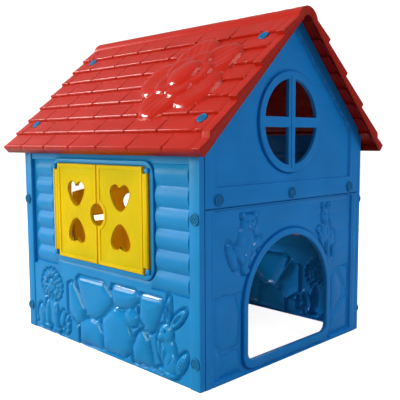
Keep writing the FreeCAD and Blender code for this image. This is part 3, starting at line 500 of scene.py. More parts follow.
def rabbit():
    """A sitting rabbit with one ear upright and one leaning, and a bushy tail."""
    parts = [(318, 200, 14, 45, -6, 15), (356, 182, 16, 46, -46, 15), (306, 132, 32, 30, 12, 16),
             (290, 120, 18, 15, 0, 20), (312, 78, 38, 50, -6, 14), (326, 52, 34, 38, 0, 18),
             (280, 84, 10, 30, 16, 16), (300, 72, 10, 32, -6, 19), (292, 22, 22, 10, 0, 16),
             (326, 18, 30, 11, 0, 18), (370, 58, 18, 42, -32, 16)]
    parts += [(318, 199, 6.5, 33, -6, -8), (357, 183, 7, 34, -46, -8), (307, 140, 5, 6, 0, -7),
              (281, 124, 4, 3, 0, -6), (288, 112, 8, 2, 20, -5), (330, 58, 22, 2.5, 60, -3)]
    parts += [(364 + 7*k, 56 - 3*k, 2.0, 32, -32, -4) for k in (0, 1, 2)]
    return parts


def climbing_cub():
    """A cub that climbs over the arch, left of the way in."""
    head = -190.0
    parts = [(head, 437, 33, 29, 12, 12), (head + 4, 427, 15, 11, 12, 16), (-200, 385, 38, 48, 14, 10),
             (-232, 352, 15, 36, 34, 13), (-262, 350, 17, 46, 24, 11), (-206, 328, 15, 34, -14, 13),
             (-165, 372, 13, 32, -50, 13), (-140, 350, 13, 11, 0, 14), (-203, 302, 17, 11, 0, 13)]
    parts += both_sides(head, (head - 26, 462, 11, 13, 20, 13))
    parts += both_sides(head, (head - 11, 444, 4, 6, 0, -5))
    parts += [(head + 5, 431, 5, 3, 0, -4), (-204, 388, 14, 20, 14, -2.5),
              (-140, 352, 2, 6, 0, -3), (-203, 300, 2, 6, 0, -3)]
    return parts


def leaping_fawn():
    """A young deer with pointed ears, right of the way in."""
    parts = [(190, 425, 22, 26, 0, 12), (192, 408, 13, 14, 0, 15), (178, 455, 8, 22, 10, 12),
             (206, 452, 8, 22, -16, 12), (196, 372, 28, 42, -6, 10), (228, 345, 20, 30, -24, 11),
             (172, 345, 9, 34, 20, 12), (206, 325, 9, 32, -4, 13), (240, 312, 9, 30, -8, 12),
             (154, 385, 12, 9, 30, 11)]
    parts += [(182, 430, 3.5, 5, 0, -5), (199, 430, 3.5, 5, 0, -5), (192, 402, 5, 3, 0, -4),
              (178, 456, 3, 14, 10, -4), (206, 454, 3, 14, -16, -4), (200, 375, 8, 22, -6, -2.5)]
    return parts


SIDE_STONES = [
    [(-137, 216), (-120, 228), (10, 228), (52, 190), (46, 165), (-10, 118), (-42, 105), (-80, 108),
     (-112, 150)],
    [(52, 206), (60, 228), (170, 230), (192, 215), (152, 180), (92, 165), (60, 172)],
    [(192, 215), (200, 224), (287, 224), (292, 210), (252, 130), (232, 118), (188, 150)],
    [(112, 150), (140, 172), (178, 152), (172, 128), (140, 116)],
    [(0, 108), (58, 156), (78, 158), (122, 134), (152, 80), (142, 40), (112, 17), (8, 17)],
    [(-124, 72), (-60, 98), (-22, 92), (-2, 62), (-2, 17), (-124, 10)],
    [(-190, 192), (-166, 202), (-148, 180), (-100, 122), (-108, 80), (-140, 66), (-190, 100)],
    [(176, 98), (200, 117), (228, 92), (247, 22), (160, 15), (152, 52)],
]
FRONT_STONES = [
    [(-336, 232), (-300, 244), (-248, 240), (-226, 180), (-236, 92), (-300, 88), (-336, 120)],
    [(-336, 108), (-306, 78), (-326, 18), (-336, 18)],
    [(-298, 74), (-238, 80), (-226, 50), (-224, 18), (-316, 18)],
    [(232, 212), (256, 238), (304, 170), (296, 130), (232, 86)],
    [(312, 170), (336, 146), (336, 236), (268, 240)],
    [(236, 76), (300, 120), (336, 130), (336, 18), (224, 18)],
]
REAR_STONES = [
    [(250, 150), (250, 236), (336, 240), (336, 168), (300, 138)],
    [(250, 138), (296, 128), (336, 156), (336, 84), (286, 62), (250, 80)],
    [(250, 68), (286, 50), (336, 72), (336, 18), (250, 18)],
]


# ------------------------------------------------------------------ materials

def moulded_plastic(name, colour, rough, polished, ribs=None, glow=None):
    """Moulded polyethylene: slightly mottled colour, soft orange peel, and a polish where the mould is."""
    material = bpy.data.materials.new(name)
    material.use_nodes = True
    nodes, links = material.node_tree.nodes, material.node_tree.links
    shader = nodes["Principled BSDF"]
    shader.inputs["IOR"].default_value = 1.45
    shader.inputs["Specular IOR Level"].default_value = 0.18
    place = nodes.new("ShaderNodeTexCoord").outputs["Object"]

    def added(kind, *settings):
        node = nodes.new(kind)
        for socket, value in settings:
            node.inputs[socket].default_value = value
        return node

    def noise(scale, detail):
        node = added("ShaderNodeTexNoise", ("Scale", scale), ("Detail", detail))
        links.new(place, node.inputs["Vector"])
        return node.outputs["Fac"]

    def bumped(height, strength, distance, normal=None):
        node = added("ShaderNodeBump", ("Strength", strength), ("Distance", distance))
        links.new(height, node.inputs["Height"])
        if normal:
            links.new(normal, node.inputs["Normal"])
        return node.outputs["Normal"]

    tint = nodes.new("ShaderNodeValToRGB")
    tint.color_ramp.elements[0].position = 0.25
    tint.color_ramp.elements[1].position = 0.75
    tint.color_ramp.elements[0].color = [c*0.90 for c in colour] + [1.0]
    tint.color_ramp.elements[1].color = [min(1.0, c*1.08 + 0.003) for c in colour] + [1.0]
    links.new(noise(7.0, 4.0), tint.inputs["Fac"])
    links.new(tint.outputs["Color"], shader.inputs["Base Color"])

    attribute = nodes.new("ShaderNodeAttribute")
    attribute.attribute_name = "polish"
    gloss = added("ShaderNodeMapRange", ("To Min", rough), ("To Max", polished))
    links.new(attribute.outputs["Fac"], gloss.inputs["Value"])
    scuff = added("ShaderNodeMapRange", ("From Min", 0.35), ("From Max", 0.75), ("To Min", -0.03),
                  ("To Max", 0.07))
    links.new(noise(38.0, 6.0), scuff.inputs["Value"])
    total = nodes.new("ShaderNodeMath")
    total.operation = "ADD"
    links.new(gloss.outputs["Result"], total.inputs[0])
    links.new(scuff.outputs["Result"], total.inputs[1])
    links.new(total.outputs["Value"], shader.inputs["Roughness"])

    normal = bumped(noise(55.0, 3.0), 0.10, 0.0012)
    normal = bumped(noise(900.0, 2.0), 0.06, 0.0004, normal)
    if ribs:
        wave = added("ShaderNodeTexWave", ("Scale", 32.0), ("Distortion", 0.0))
        wave.bands_direction = ribs
        links.new(place, wave.inputs["Vector"])
        normal = bumped(wave.outputs["Fac"], 0.9, 0.0012, normal)
    links.new(normal, shader.inputs["Normal"])
    if glow:
        through = added("ShaderNodeBsdfTranslucent", ("Color", (*glow, 1.0)))
        blend = added("ShaderNodeMixShader", ("Fac", 0.42))
        links.new(shader.outputs["BSDF"], blend.inputs[1])
        links.new(through.outputs["BSDF"], blend.inputs[2])
        links.new(blend.outputs["Shader"], nodes["Material Output"].inputs["Surface"])
    return material


AMBER = (1.0, 0.50, 0.02)
MATERIALS = {}


def plastic(kind):
    """The named plastic, made once."""
    if kind not in MATERIALS:
        recipes = {
            "wall": (colours().wall, 0.36, 0.07),
            "roof": (colours().roof, 0.34, 0.16),
            "shutter": (colours().shutter, 0.34, 0.20, "Y", AMBER),
            "door": (colours().shutter, 0.34, 0.20, "X", AMBER),
            "bolt": (colours().bolt, 0.24, 0.20),
        }
        MATERIALS[kind] = moulded_plastic(f"{kind}_plastic", *recipes[kind])
    return MATERIALS[kind]


# ------------------------------------------------------------------ window walls

def window_wall_shape(i, j, u, v):
    """Logs beside the window, a flat band under it, and stones with an animal at each side."""
    h = np.full(np.shape(u), -3.0)
    polish = np.zeros(np.shape(u))
    across = np.mod(v - LOG_LOW, LOG_PITCH)/LOG_PITCH*2.0 - 1.0
    log = -9.0 + 9.5*(1.0 - across**2)
    tip = LOG_TIP + 22.0*(1.0 - np.sqrt(1.0 - (0.98*across)**2))
    ends = np.where(u < 0, dome((u - tip)/16.0), ease((LOG_STOP - u)/4.0))
    log = CHANNEL + (log - CHANNEL)*ends
    beside = (np.abs(u) > SHUTTER_OUTER) & (v > LOG_LOW) & (v < LOG_TOP)
    h = np.where(beside, log, h)
    h = np.where((u < LOG_TIP) & (v > 240.0), CHANNEL, h)
    h = np.where(v >= LOG_TOP, -5.0, h)
    frame_depth = slab_depth(u, v, SHUTTER_OUTER + FRAME_WIDTH, WINDOW_MIDDLE - SHUTTER_HALF - FRAME_WIDTH,
                             WINDOW_MIDDLE + SHUTTER_HALF + FRAME_WIDTH, FRAME_CORNER)
    h = sunk(h, frame_depth, -9.5)
    h, polish = add_stones(h, polish, u, v, SIDE_STONES, STONE_FLOOR, reliefs().stone_height*METRE,
                           gap=-4.0)
    for figure in (lion_cub(), rabbit()):
        h, polish = add_figure(h, polish, u, v, figure, STONE_FLOOR)
    h = np.where(v < 5.0, np.minimum(h, -4.0), h)
    foot = (j == 0) | (j == np.max(j))
    h = np.where(foot, -POST_DEPTH, h)
    return np.stack((u, v, h), axis=1), polish


def window_open(u, v):
    return slab_depth(u, v, WINDOW_HALF + 4, WINDOW_MIDDLE - WINDOW_HALF_HEIGHT - 4,
                      WINDOW_MIDDLE + WINDOW_HALF_HEIGHT + 4, 26.0) > 0


def bolt_rings(spots, top=0.0):
    """Shallow raised seats around bolts."""
    parts = []
    for cu, cv in spots:
        seat = turned_part([(HEAD_RADIUS + 1.0, -2.0), (HEAD_RADIUS + 1.0, 0.6), (HEAD_RADIUS + 2.0, 1.2),
                            (HEAD_RADIUS + 3.2, 1.0), (HEAD_RADIUS + 4.0, -2.0)], steps=40)
        parts.append(moved(seat, Matrix.Translation((cu, cv, top))))
    return parts


def build_window_wall(label, turned):
    grow = lines_between(-HALF_LENGTH + 2, HALF_LENGTH - 2, 4.6,
                         fine=[(-392.0, -168.0, 3.2), (252.0, 402.0, 3.2)],
                         features=[(LOG_TIP + 4.0, (-2.5, -0.5, 1.0, 3.0, 6.0)),
                                   (LOG_STOP, (-5, -3, -1, 0.5))])
    rise = lines_between(0.0, SIDE_TOP, 6.5, fine=[(6.0, 247.0, 3.2)],
                         features=[(LOG_LOW + LOG_PITCH*k, (-4, -2, -0.7, 0.7, 2, 4)) for k in range(7)])
    rise = np.concatenate(([0.0], [0.5], rise[1:-1], [SIDE_TOP - 0.5], [SIDE_TOP]))
    sheet = moved(moulded_sheet(grow, rise, window_wall_shape, window_open), side_place(0.0, turned))
    wall_piece(f"{label}_panel", sheet, skin=reliefs().skin)
    low, high = WINDOW_MIDDLE - SHUTTER_HALF, WINDOW_MIDDLE + SHUTTER_HALF
    frame_outline = round_slab(SHUTTER_OUTER + FRAME_WIDTH, low - FRAME_WIDTH, high + FRAME_WIDTH,
                               FRAME_CORNER)
    frame_inner = round_slab(SHUTTER_OUTER, low, high, FRAME_CORNER - FRAME_WIDTH)
    ledge_outer = round_slab(SHUTTER_OUTER + 3, low - 3, high + 3, FRAME_CORNER - FRAME_WIDTH)
    opening = round_slab(WINDOW_HALF, WINDOW_MIDDLE - WINDOW_HALF_HEIGHT,
                         WINDOW_MIDDLE + WINDOW_HALF_HEIGHT, 26.0)
    parts = [plate([frame_outline, frame_inner], 11.0, edge=2.6, top=1.2, segments=3),
             plate([ledge_outer, opening], 7.0, edge=1.5, top=-LEDGE_DEPTH)]
    post = HALF_LENGTH - POST_WIDTH
    for end in (-1, 1):
        near, far = sorted((end*post, end*HALF_LENGTH))
        parts.append(block((near, 0.0, -POST_DEPTH), (far, SIDE_TOP, 0.0), edge=3.0))
        for up in (-1, 1):
            hinge = SHUTTER_OUTER - HINGE_INSET
            middle = WINDOW_MIDDLE + up*(SHUTTER_HALF - 2.0 - EAR_INSET - EAR_HEIGHT/2.0)
            near, far = sorted((end*(hinge - EAR_WIDTH/2.0), end*(SHUTTER_OUTER + 2.0)))
            parts.append(block((near, middle - EAR_HEIGHT/2.0, -LEDGE_DEPTH - 1.0),
                               (far, middle + EAR_HEIGHT/2.0, HINGE_OUT + 4.5), edge=2.8))
    box = node_box("left_wall_bolts")
    spots = [(end*(box[1].y - HEAD_RADIUS), level) for end in (-1, 1)
             for level in (box[0].z + HEAD_RADIUS, box[1].z - HEAD_RADIUS)]
    parts += bolt_rings(spots)
    wall_piece(f"{label}_frame_and_posts", moved(gathered(parts), side_place(0.0, turned)), [label])


# ------------------------------------------------------------------ shutters

def heart_outline(cu, cv, upright):
    """A plump heart, 96 wide and 81 high, its tip down or up."""
    half = [(23.0 + 25.0*math.cos(a), 14.0 + 25.0*math.sin(a))
            for a in np.radians(np.linspace(142.0, 0.0, 12))]
    half += [(48.0*(0.7*math.cos(a) + 0.3*(1.0 - math.sin(a))), 14.0 - 56.0*math.sin(a))
             for a in np.radians(np.linspace(8.0, 82.0, 12))]
    points = [(0.0, 23.8)] + half + [(0.0, -42.0)] + [(-x, y) for x, y in reversed(half)]
    return [(cu + x, cv + upright*y) for x, y in points]


def build_shutter(label, end, turned):
    """A leaf drawn for the rear side of the window, and mirrored for the front one."""
    hinge = SHUTTER_OUTER - HINGE_INSET
    low, high = WINDOW_MIDDLE - SHUTTER_HALF + 2.0, WINDOW_MIDDLE + SHUTTER_HALF - 2.0
    notch, meeting, finger, face = 20.0, 2.0, 35.0, 8.0

    def gripped(points, inset):
        reach = finger + inset
        half_turn = math.degrees(math.acos((meeting + inset)/reach))
        return [(-x, y) for x, y in points + arc(0.0, WINDOW_MIDDLE, reach, half_turn, -half_turn, 20)]

    def panel_outline(inset):
        a, b, lo, hi = meeting + inset, hinge - notch - inset, low + inset, high - inset
        return gripped([(a, lo), (b, lo), (b, hi), (a, hi)], inset)

    a, b = meeting, hinge
    whole_outline = gripped([(a, low), (b - notch, low), (b - notch, low + notch), (b, low + notch),
                             (b, high - notch), (b - notch, high - notch), (b - notch, high), (a, high)], 0.0)
    hearts = [heart_outline(-HEART_REACH, WINDOW_MIDDLE + up*HEART_RISE, up) for up in (-1, 1)]
    leaf = plate([whole_outline] + hearts, 12.0, edge=1.6, top=face - 2.6, segments=3)
    rim = plate([panel_outline(0.6), panel_outline(13.0)], 5.0, edge=1.8, top=face, segments=3)
    strip = block((-(hinge - 1.0), low + notch + 1.0, face - 6.0),
                  (-(hinge - notch + 2.0), high - notch - 1.0, face - 0.8), edge=1.8)
    lips = []
    for up, heart in zip((-1, 1), hearts):
        middle = Vector((-HEART_REACH, WINDOW_MIDDLE + up*HEART_RISE))
        outer = [tuple(middle + (Vector(point) - middle)*1.06) for point in heart]
        lips.append(plate([outer, heart], 3.0, edge=0.5, top=face - 1.8))
    reach = SHUTTER_HALF - 2.0 - EAR_HEIGHT - 1.0 - EAR_INSET
    barrel = turned_part([(0.0, -reach), (3.6, -reach), (4.5, -reach + 1.2), (4.5, reach - 1.2), (3.6, reach),
                          (0.0, reach)], steps=24)
    pin = turned_part([(0.0, -reach - 10), (2.4, -reach - 10), (3.0, -reach - 9), (3.0, reach + 9),
                       (2.4, reach + 10), (0.0, reach + 10)], steps=20)
    upright = Matrix.Translation((-hinge, WINDOW_MIDDLE, HINGE_OUT)) @ Matrix.Rotation(-math.pi/2, 4, "X")
    whole = gathered([leaf, rim, strip] + lips + [moved(part, upright) for part in (barrel, pin)])
    if end > 0:
        bmesh.ops.scale(whole, vec=(-1, 1, 1), verts=whole.verts[:])
        bmesh.ops.reverse_faces(whole, faces=whole.faces[:])
    finish_piece(f"{label}_leaf", moved(whole, side_place(0.0, turned)), plastic("shutter"), label,
                 [label])


# ------------------------------------------------------------------ gable walls

def siding(h, v, low):
    """Faint boards, each a little fuller at its lower edge."""
    across = np.mod(v - low, LOG_PITCH)/LOG_PITCH
    return h + 2.6*np.sqrt(np.clip(1.0 - (1.9*(across - 0.5))**2, 0.0, 1.0))


def bordered(u, v, half, top=None):
    """The field of a lower gable panel inside its border."""
    inside = slab_depth(u, v, half - BORDER, BASE_BAND, top, 6.0)
    return FIELD*ease(inside/3.0), inside


def lower_gable_shape(rear):
    def shape(i, j, u, v):
        h, inside = bordered(u, v, PANEL_HALF, UPPER_BOTTOM - 4.0)
        polish = np.zeros(np.shape(u))
        board = siding(h, v, LOG_LOW)
        h = np.where((inside > 3.0) & (v > 246.0), board, h)
        mirror = np.abs(u) if rear else u
        stones = REAR_STONES if rear else FRONT_STONES
        h, polish = add_stones(h, polish, mirror, v, stones, FIELD - 3.0, 6.5, roundness=16.0, bed=7.0,
                               gap=1.0)
        polish = polish*0.45
        if not rear:
            for figure in (climbing_cub(), leaping_fawn()):
                h, polish = add_figure(h, polish, u, v, figure, FIELD - 4.0)
        groove = slab_depth(u, v, PANEL_HALF - 24.0, -50.0, UPPER_BOTTOM + 50.0, 4.0)
        h = h - 1.5*ease(1.0 - np.abs(groove)/3.0)
        if rear:
            near = arch_depth(u, v, DOORWAY_HALF + HATCH_FRAME, DOORWAY_SPRING, 0.0)
        else:
            near = arch_depth(u, v, HATCH_HALF + HATCH_FRAME, HATCH_SPRING, 8.0)
        h = sunk(h, near, FIELD - 3.0)
        side = (i == 0) | (i == np.max(i)) | (j == 0)
        h = np.where(side, -PANEL_DEPTH, h)
        return np.stack((u, v, h), axis=1), polish
    return shape


def gable_half(v):
    """Half the width of the upper gable panel at a height."""
    return np.minimum(PANEL_HALF, (GABLE_PEAK - v)/math.tan(PITCH))


def upper_gable_shape(rear):
    def shape(i, j, t, v):
        u = t*gable_half(v)
        slope = (gable_half(v) - np.abs(u))*math.sin(PITCH)
        edge = np.minimum(slope, PANEL_HALF - np.abs(u))
        inside = np.minimum(edge - BORDER, v - RAIL_TOP)
        h = FIELD*ease(inside/3.0)
        h = np.where(inside > 3.0, siding(h, v, RAIL_TOP - 1.0), h)
        h = h - 1.6*ease(1.0 - np.abs(edge - 24.0)/3.0)
        h = h - 1.8*ease(1.0 - (v - UPPER_BOTTOM)/2.5)
        polish = np.zeros(np.shape(u))
        if rear:
            near = DOORWAY_HALF + HATCH_FRAME - np.hypot(u, v - DOORWAY_SPRING)
        else:
            near = PORTHOLE + PORTHOLE_FRAME - np.hypot(u, v - PORTHOLE_MIDDLE)
        h = sunk(h, near, FIELD - 3.0)
        side = (i == 0) | (i == np.max(i)) | (j == np.max(j))
        h = np.where(side, -PANEL_DEPTH, h)
        return np.stack((u, v, h), axis=1), polish
    return shape


def doubled_ends(lines, first=True, last=True):
    """Grid lines with a second one just inside each end, for a flange that folds back."""
    head = [lines[0], lines[0] + 0.4] if first else [lines[0]]
    tail = [lines[-1] - 0.4, lines[-1]] if last else [lines[-1]]
    return np.concatenate((head, lines[1:-1], tail))


def opening_of(rear):
    """Half the width and the spring line of a gable's doorway."""
    return (DOORWAY_HALF, DOORWAY_SPRING) if rear else (HATCH_HALF, HATCH_SPRING)


def lower_gable_panel(label, rear):
    half, spring = opening_of(rear)
    across = lines_between(-PANEL_HALF, PANEL_HALF, 6.0 if rear else 4.6,
                           fine=[] if rear else [(-300.0, -105.0, 3.2), (135.0, 255.0, 3.2)],
                           features=[(side*place, (-3, -1.5, 0, 1.5, 3)) for side in (-1, 1)
                                     for place in (PANEL_HALF - BORDER, PANEL_HALF - 24.0)])
    rise = lines_between(0.0, UPPER_BOTTOM - 1.0, 6.0 if rear else 5.0,
                         fine=[] if rear else [(290.0, 482.0, 3.2)],
                         features=[(BASE_BAND, (-1, 0.5, 2, 3.5)), (UPPER_BOTTOM - 4.0, (-4, -2.5, -1, 0, 1))]
                         + [(LOG_LOW + LOG_PITCH*k, (-3, -1, 1, 3)) for k in range(4)])
    sheet = moulded_sheet(doubled_ends(across), doubled_ends(rise, last=False), lower_gable_shape(rear),
                          lambda u, v: arch_depth(u, v, half + 6.0, spring, SILL - 8.0) > 0)
    wall_piece(f"{label}_panel", moved(sheet, gable_place(0.0, rear)), skin=reliefs().skin)


def upper_gable_panel(label, rear):
    """The upper panel, its grid running from slope to slope in shares of its half width."""
    centre, radius = (DOORWAY_SPRING, DOORWAY_HALF) if rear else (PORTHOLE_MIDDLE, PORTHOLE)
    edge = np.array([-1.0, -0.9985])
    ways = np.concatenate((edge, np.linspace(-1.0, 1.0, 151)[1:-1], -edge[::-1]))
    rise = lines_between(UPPER_BOTTOM, GABLE_TOP, 5.5,
                         features=[(RAIL_TOP, (-1, 0.5, 2, 3.5))]
                         + [(RAIL_TOP - 1.0 + LOG_PITCH*k, (-3, -1, 1, 3)) for k in range(1, 8)])
    sheet = moulded_sheet(ways, doubled_ends(rise, first=False), upper_gable_shape(rear),
                          lambda t, v: np.hypot(t*gable_half(v), v - centre) < radius + 6.0)
    wall_piece(f"{label}_panel", moved(sheet, gable_place(0.0, rear)), skin=reliefs().skin)


def hatch_frame_parts():
    """The frame of the low doorway, and the round window above it."""
    half, spring = opening_of(False)
    ring = [arch_outline(half + HATCH_FRAME, spring, SILL - HATCH_FRAME - 8.0, HATCH_CORNER + HATCH_FRAME),
            arch_outline(half, spring, SILL, HATCH_CORNER)]
    return [plate(ring, 16.0, edge=3.2, top=0.4, segments=3)], [porthole()]


def doorway_frame_parts():
    """The legs, sill and hinge ears of the tall doorway, and its round head."""
    half, spring = opening_of(True)
    outer = half + HATCH_FRAME
    legs = [(-outer, 3.0), (outer, 3.0), (outer, spring), (half, spring), (half, SILL), (-half, SILL),
            (-half, spring), (-outer, spring)]
    low_parts = [plate([legs], 16.0, edge=2.2, segments=3)]
    head = arc(0, spring, outer, 0, 180, 48) + arc(0, spring, half, 180, 0, 48)
    for level in DOOR_EARS:
        low_parts.append(block((half - HINGE_INSET - 6.0, level - EAR_HEIGHT/2.0, -8.0),
                               (half + 4.0, level + EAR_HEIGHT/2.0, 4.0), edge=2.0))
    return low_parts, [plate([head], 16.0, edge=2.2, segments=3)]


def tongue_block(near, far):
    """The tongue behind the seam, which the upper panel slides over."""
    return block((near, TONGUE[0], -9.6), (far, TONGUE[1], -6.6), edge=0.6)


def build_gable(label_low, label_high, rear):
    lower_gable_panel(label_low, rear)
    upper_gable_panel(label_high, rear)
    low_parts, high_parts = doorway_frame_parts() if rear else hatch_frame_parts()
    bolts = "rear_rail_bolts" if rear else "front_rail_bolts"
    reach = node_box(bolts)[1].x - HEAD_RADIUS
    high_parts += bolt_rings([(side*reach, RAIL_BOLT_HEIGHT) for side in ((-1, 1) if rear else (-1, 0, 1))])
    tongue = PANEL_HALF - 4.0
    if rear:
        near = DOORWAY_HALF + HATCH_FRAME + 3.0
        low_parts += [tongue_block(-tongue, -near), tongue_block(near, tongue)]
    else:
        low_parts.append(tongue_block(-tongue, tongue))
    wall_piece(f"{label_low}_frame", moved(gathered(low_parts), gable_place(0.0, rear)), [label_low])
    wall_piece(f"{label_high}_frame", moved(gathered(high_parts), gable_place(0.0, rear)), [label_high])


def porthole():
    """The round window's ring with its cross bars."""
    bar = MULLION/2.0
    outlines = [circle(0.0, PORTHOLE_MIDDLE, PORTHOLE + PORTHOLE_FRAME, 72)]
    start = math.degrees(math.asin(bar/PORTHOLE))
    for quarter in range(4):
        pane = [(bar, bar)] + arc(0, 0, PORTHOLE, start, 90 - start, 22)
        c, s = (1, 0, -1, 0)[quarter], (0, 1, 0, -1)[quarter]
        outlines.append([(x*c - y*s, PORTHOLE_MIDDLE + x*s + y*c) for x, y in pane])
    face = plate(outlines, 14.0, edge=2.4, segments=3)
    ridge = block((-6.0, PORTHOLE_MIDDLE - PORTHOLE - 8.0, -2.0),
                  (6.0, PORTHOLE_MIDDLE + PORTHOLE + 8.0, 3.0), edge=2.6)
    return gathered([face, ridge])


# ------------------------------------------------------------------ half door

def build_half_door():
    half = DOORWAY_HALF
    hinge = half - HINGE_INSET
    left, low, crown, radius = -half + 4.0, SILL + 4.0, 500.0, 1000.0
    face, notch = -3.0, 18.0

    def outline(inset, right, levels=()):
        a, b, base = left + inset, right - inset, low + inset
        side = [(b, base)]
        for level in levels:
            for x, y in ((b, -1), (b - notch, -1), (b - notch, 1), (b, 1)):
                side.append((x, level + y*(EAR_HEIGHT/2.0 + 2.0)))
        top = [b + (a - b)*k/24.0 for k in range(25)]
        return [(a, base)] + side + [(x, crown - radius + math.sqrt((radius - inset)**2 - x*x)) for x in top]

    slot = round_slab(65.0, 357.5, 379.5, 6.0, cu=85.0, steps=4)
    peep = circle(-67.0, 425.0, 32.0, 40)
    leaf = plate([outline(0.0, hinge - 1.0, DOOR_EARS), slot, peep], 10.0, edge=2.0, top=face - 2.0,
                 segments=3)
    inner = hinge - notch - 2.0
    parts = [leaf, plate([outline(0.8, inner), outline(15.0, inner)], 5.0, edge=1.5, top=face)]
    slot_rim = round_slab(74.0, 349.0, 388.0, 11.0, cu=85.0, steps=4)
    for rim, way in ((slot_rim, slot), (circle(-67.0, 425.0, 40.0, 40), peep)):
        parts.append(plate([rim, way], 4.0, edge=1.2, top=face + 0.5))
    for centre in (-105.0, 83.0):
        panel = round_slab(78.0, 72.0, 318.0, 16.0, cu=centre)
        field = round_slab(70.0, 80.0, 310.0, 10.0, cu=centre)
        parts.append(plate([panel, field], 4.0, edge=1.4, top=face + 0.3))
    base, top = DOOR_EARS[0] + EAR_HEIGHT/2.0 + 1.0, DOOR_EARS[1] - EAR_HEIGHT/2.0 - 1.0
    barrel = turned_part([(0.0, base), (5.0, base), (6.0, base + 1.5), (6.0, top - 1.5), (5.0, top),
                          (0.0, top)], 28)
    pin = turned_part([(0.0, base - 10), (2.4, base - 10), (3.0, base - 9), (3.0, top + 9), (2.4, top + 10),
                       (0.0, top + 10)], 20)
    upright = Matrix.Translation((hinge, 0, -2.0)) @ Matrix.Rotation(-math.pi/2, 4, "X")
    parts += [moved(part, upright) for part in (barrel, pin)]
    finish_piece("rear_door_leaf", moved(gathered(parts), gable_place(0.0, True)), plastic("door"),
                 "rear_door", ["rear_door"])


# ------------------------------------------------------------------ roof

def tile_columns(row):
    """Where the joints of a tile row lie along the ridge."""
    first = 65.0 if row % 2 else -8.5
    columns = [first + TILE_WIDTH*k for k in range(-4, 4)]
    return [column for column in columns if -490.0 < column < 462.0]


def tiles(u, d):
    """Tile rows, each rising to its rounded lower edge, with joints staggered from row to row."""
    h = np.zeros(np.shape(u))
    for row in range(TILE_ROWS):
        low = RIDGE_RADIUS/2.0 if row == 0 else FIRST_ROW + (row - 1)*ROW_PITCH
        high = FIRST_ROW + row*ROW_PITCH
        inside = (d >= low) & (d <= high)
        rise = TILE_STEP*(d - low)/(high - low) + 1.6*ease((d - high + 13.0)/7.0)
        bend = np.clip((d - high + LIP)/LIP, 0.0, 1.0)
        value = rise - LIP*(1.0 - np.sqrt(1.0 - (0.98*bend)**2))
        joint = np.zeros(np.shape(u))
        for column in tile_columns(row):
            joint = np.maximum(joint, 1.0 - np.abs(u - column)/JOINT_HALF)
        depth = reliefs().joint_depth*METRE
        value = value - depth*ease(joint)*ease((d - low)/8.0)
        value = value - 3.0*ease(joint)*ease((d - high + 14.0)/8.0)
        h = np.where(inside, np.maximum(value, -0.5), h)
    return h


def verge_tiles(d):
    """The taller wedge tiles along the front gable."""
    edges = [RIDGE_RADIUS/2.0] + VERGE_ENDS
    h = np.zeros(np.shape(d))
    for low, high in zip(edges, edges[1:]):
        rise = VERGE_STEP*(d - low)/(high - low) - 3.0*ease((d - high + 3.0)/3.0)
        h = np.where((d >= low) & (d <= high), rise, h)
    return np.where(d > edges[-1], TILE_STEP*(d - edges[-1])/(EAVE - edges[-1]), h)


def flower(u, d):
    """A big open flower: broad, faintly fluted petals, cupped petals over them and a domed middle."""
    a, b = u - FLOWER_MIDDLE[0], d - FLOWER_MIDDLE[1]
    h = np.full(np.shape(u), -20.0)
    rings = ((5, 0.62, 104.0, 88.0, 86.0, 13.0, 0.4), (5, 0.0, 56.0, 58.0, 58.0, 19.0, 0.0))
    for count, start, reach, length, width, rise, flute in rings:
        for k in range(count):
            turn = start + 2*math.pi*k/count
            along = math.cos(turn)*a + math.sin(turn)*b - reach
            across = math.cos(turn)*b - math.sin(turn)*a
            ratio = np.hypot(along/length, across/width)
            value = rise*dome((1.0 - ratio)*2.0) - 3.0*ease(1.0 - ratio*1.25)
            value = value + flute*np.cos(across*0.24)*ease((1.0 - ratio)*3.0)
            h = np.where(ratio < 1.0, np.maximum(h, value), h)
    ratio = np.hypot(a, b)/60.0
    middle = 14.0 + reliefs().flower_height*METRE*0.8*np.sqrt(np.clip(1.0 - ratio**2, 0.0, 1.0))
    return np.where(ratio < 1.0, np.maximum(h, middle), h)


def roof_rows():
    """Slope distances of the roof's grid lines, from the ridge to the eave."""
    start = -RIDGE_RADIUS*math.sin(PITCH)
    crest = math.sqrt(RIDGE_RADIUS**2 - TILE_FACE**2)
    roll = [RIDGE_RADIUS*math.sin(a) for a in np.linspace(-PITCH, math.asin(crest/RIDGE_RADIUS), 15)]
    roll[0] = start
    lips = [(FIRST_ROW + row*ROW_PITCH, (-13, -9.5, -6, -4.4, -3, -1.8, -0.9, -0.3, 0.1))
            for row in range(TILE_ROWS - 1)]
    verge_ends = [(end, (-3, -1, 0, 0.3)) for end in VERGE_ENDS]
    field = lines_between(crest + 0.5, EAVE, 9.0, fine=[(70.0, 466.0, 4.4)], features=lips + verge_ends)
    tail = [EAVE - 9, EAVE - 6, EAVE - 3, EAVE - 1.2]
    field = [d for d in field if d < EAVE - 10.0] + tail + [EAVE]
    return np.array(roll + field)


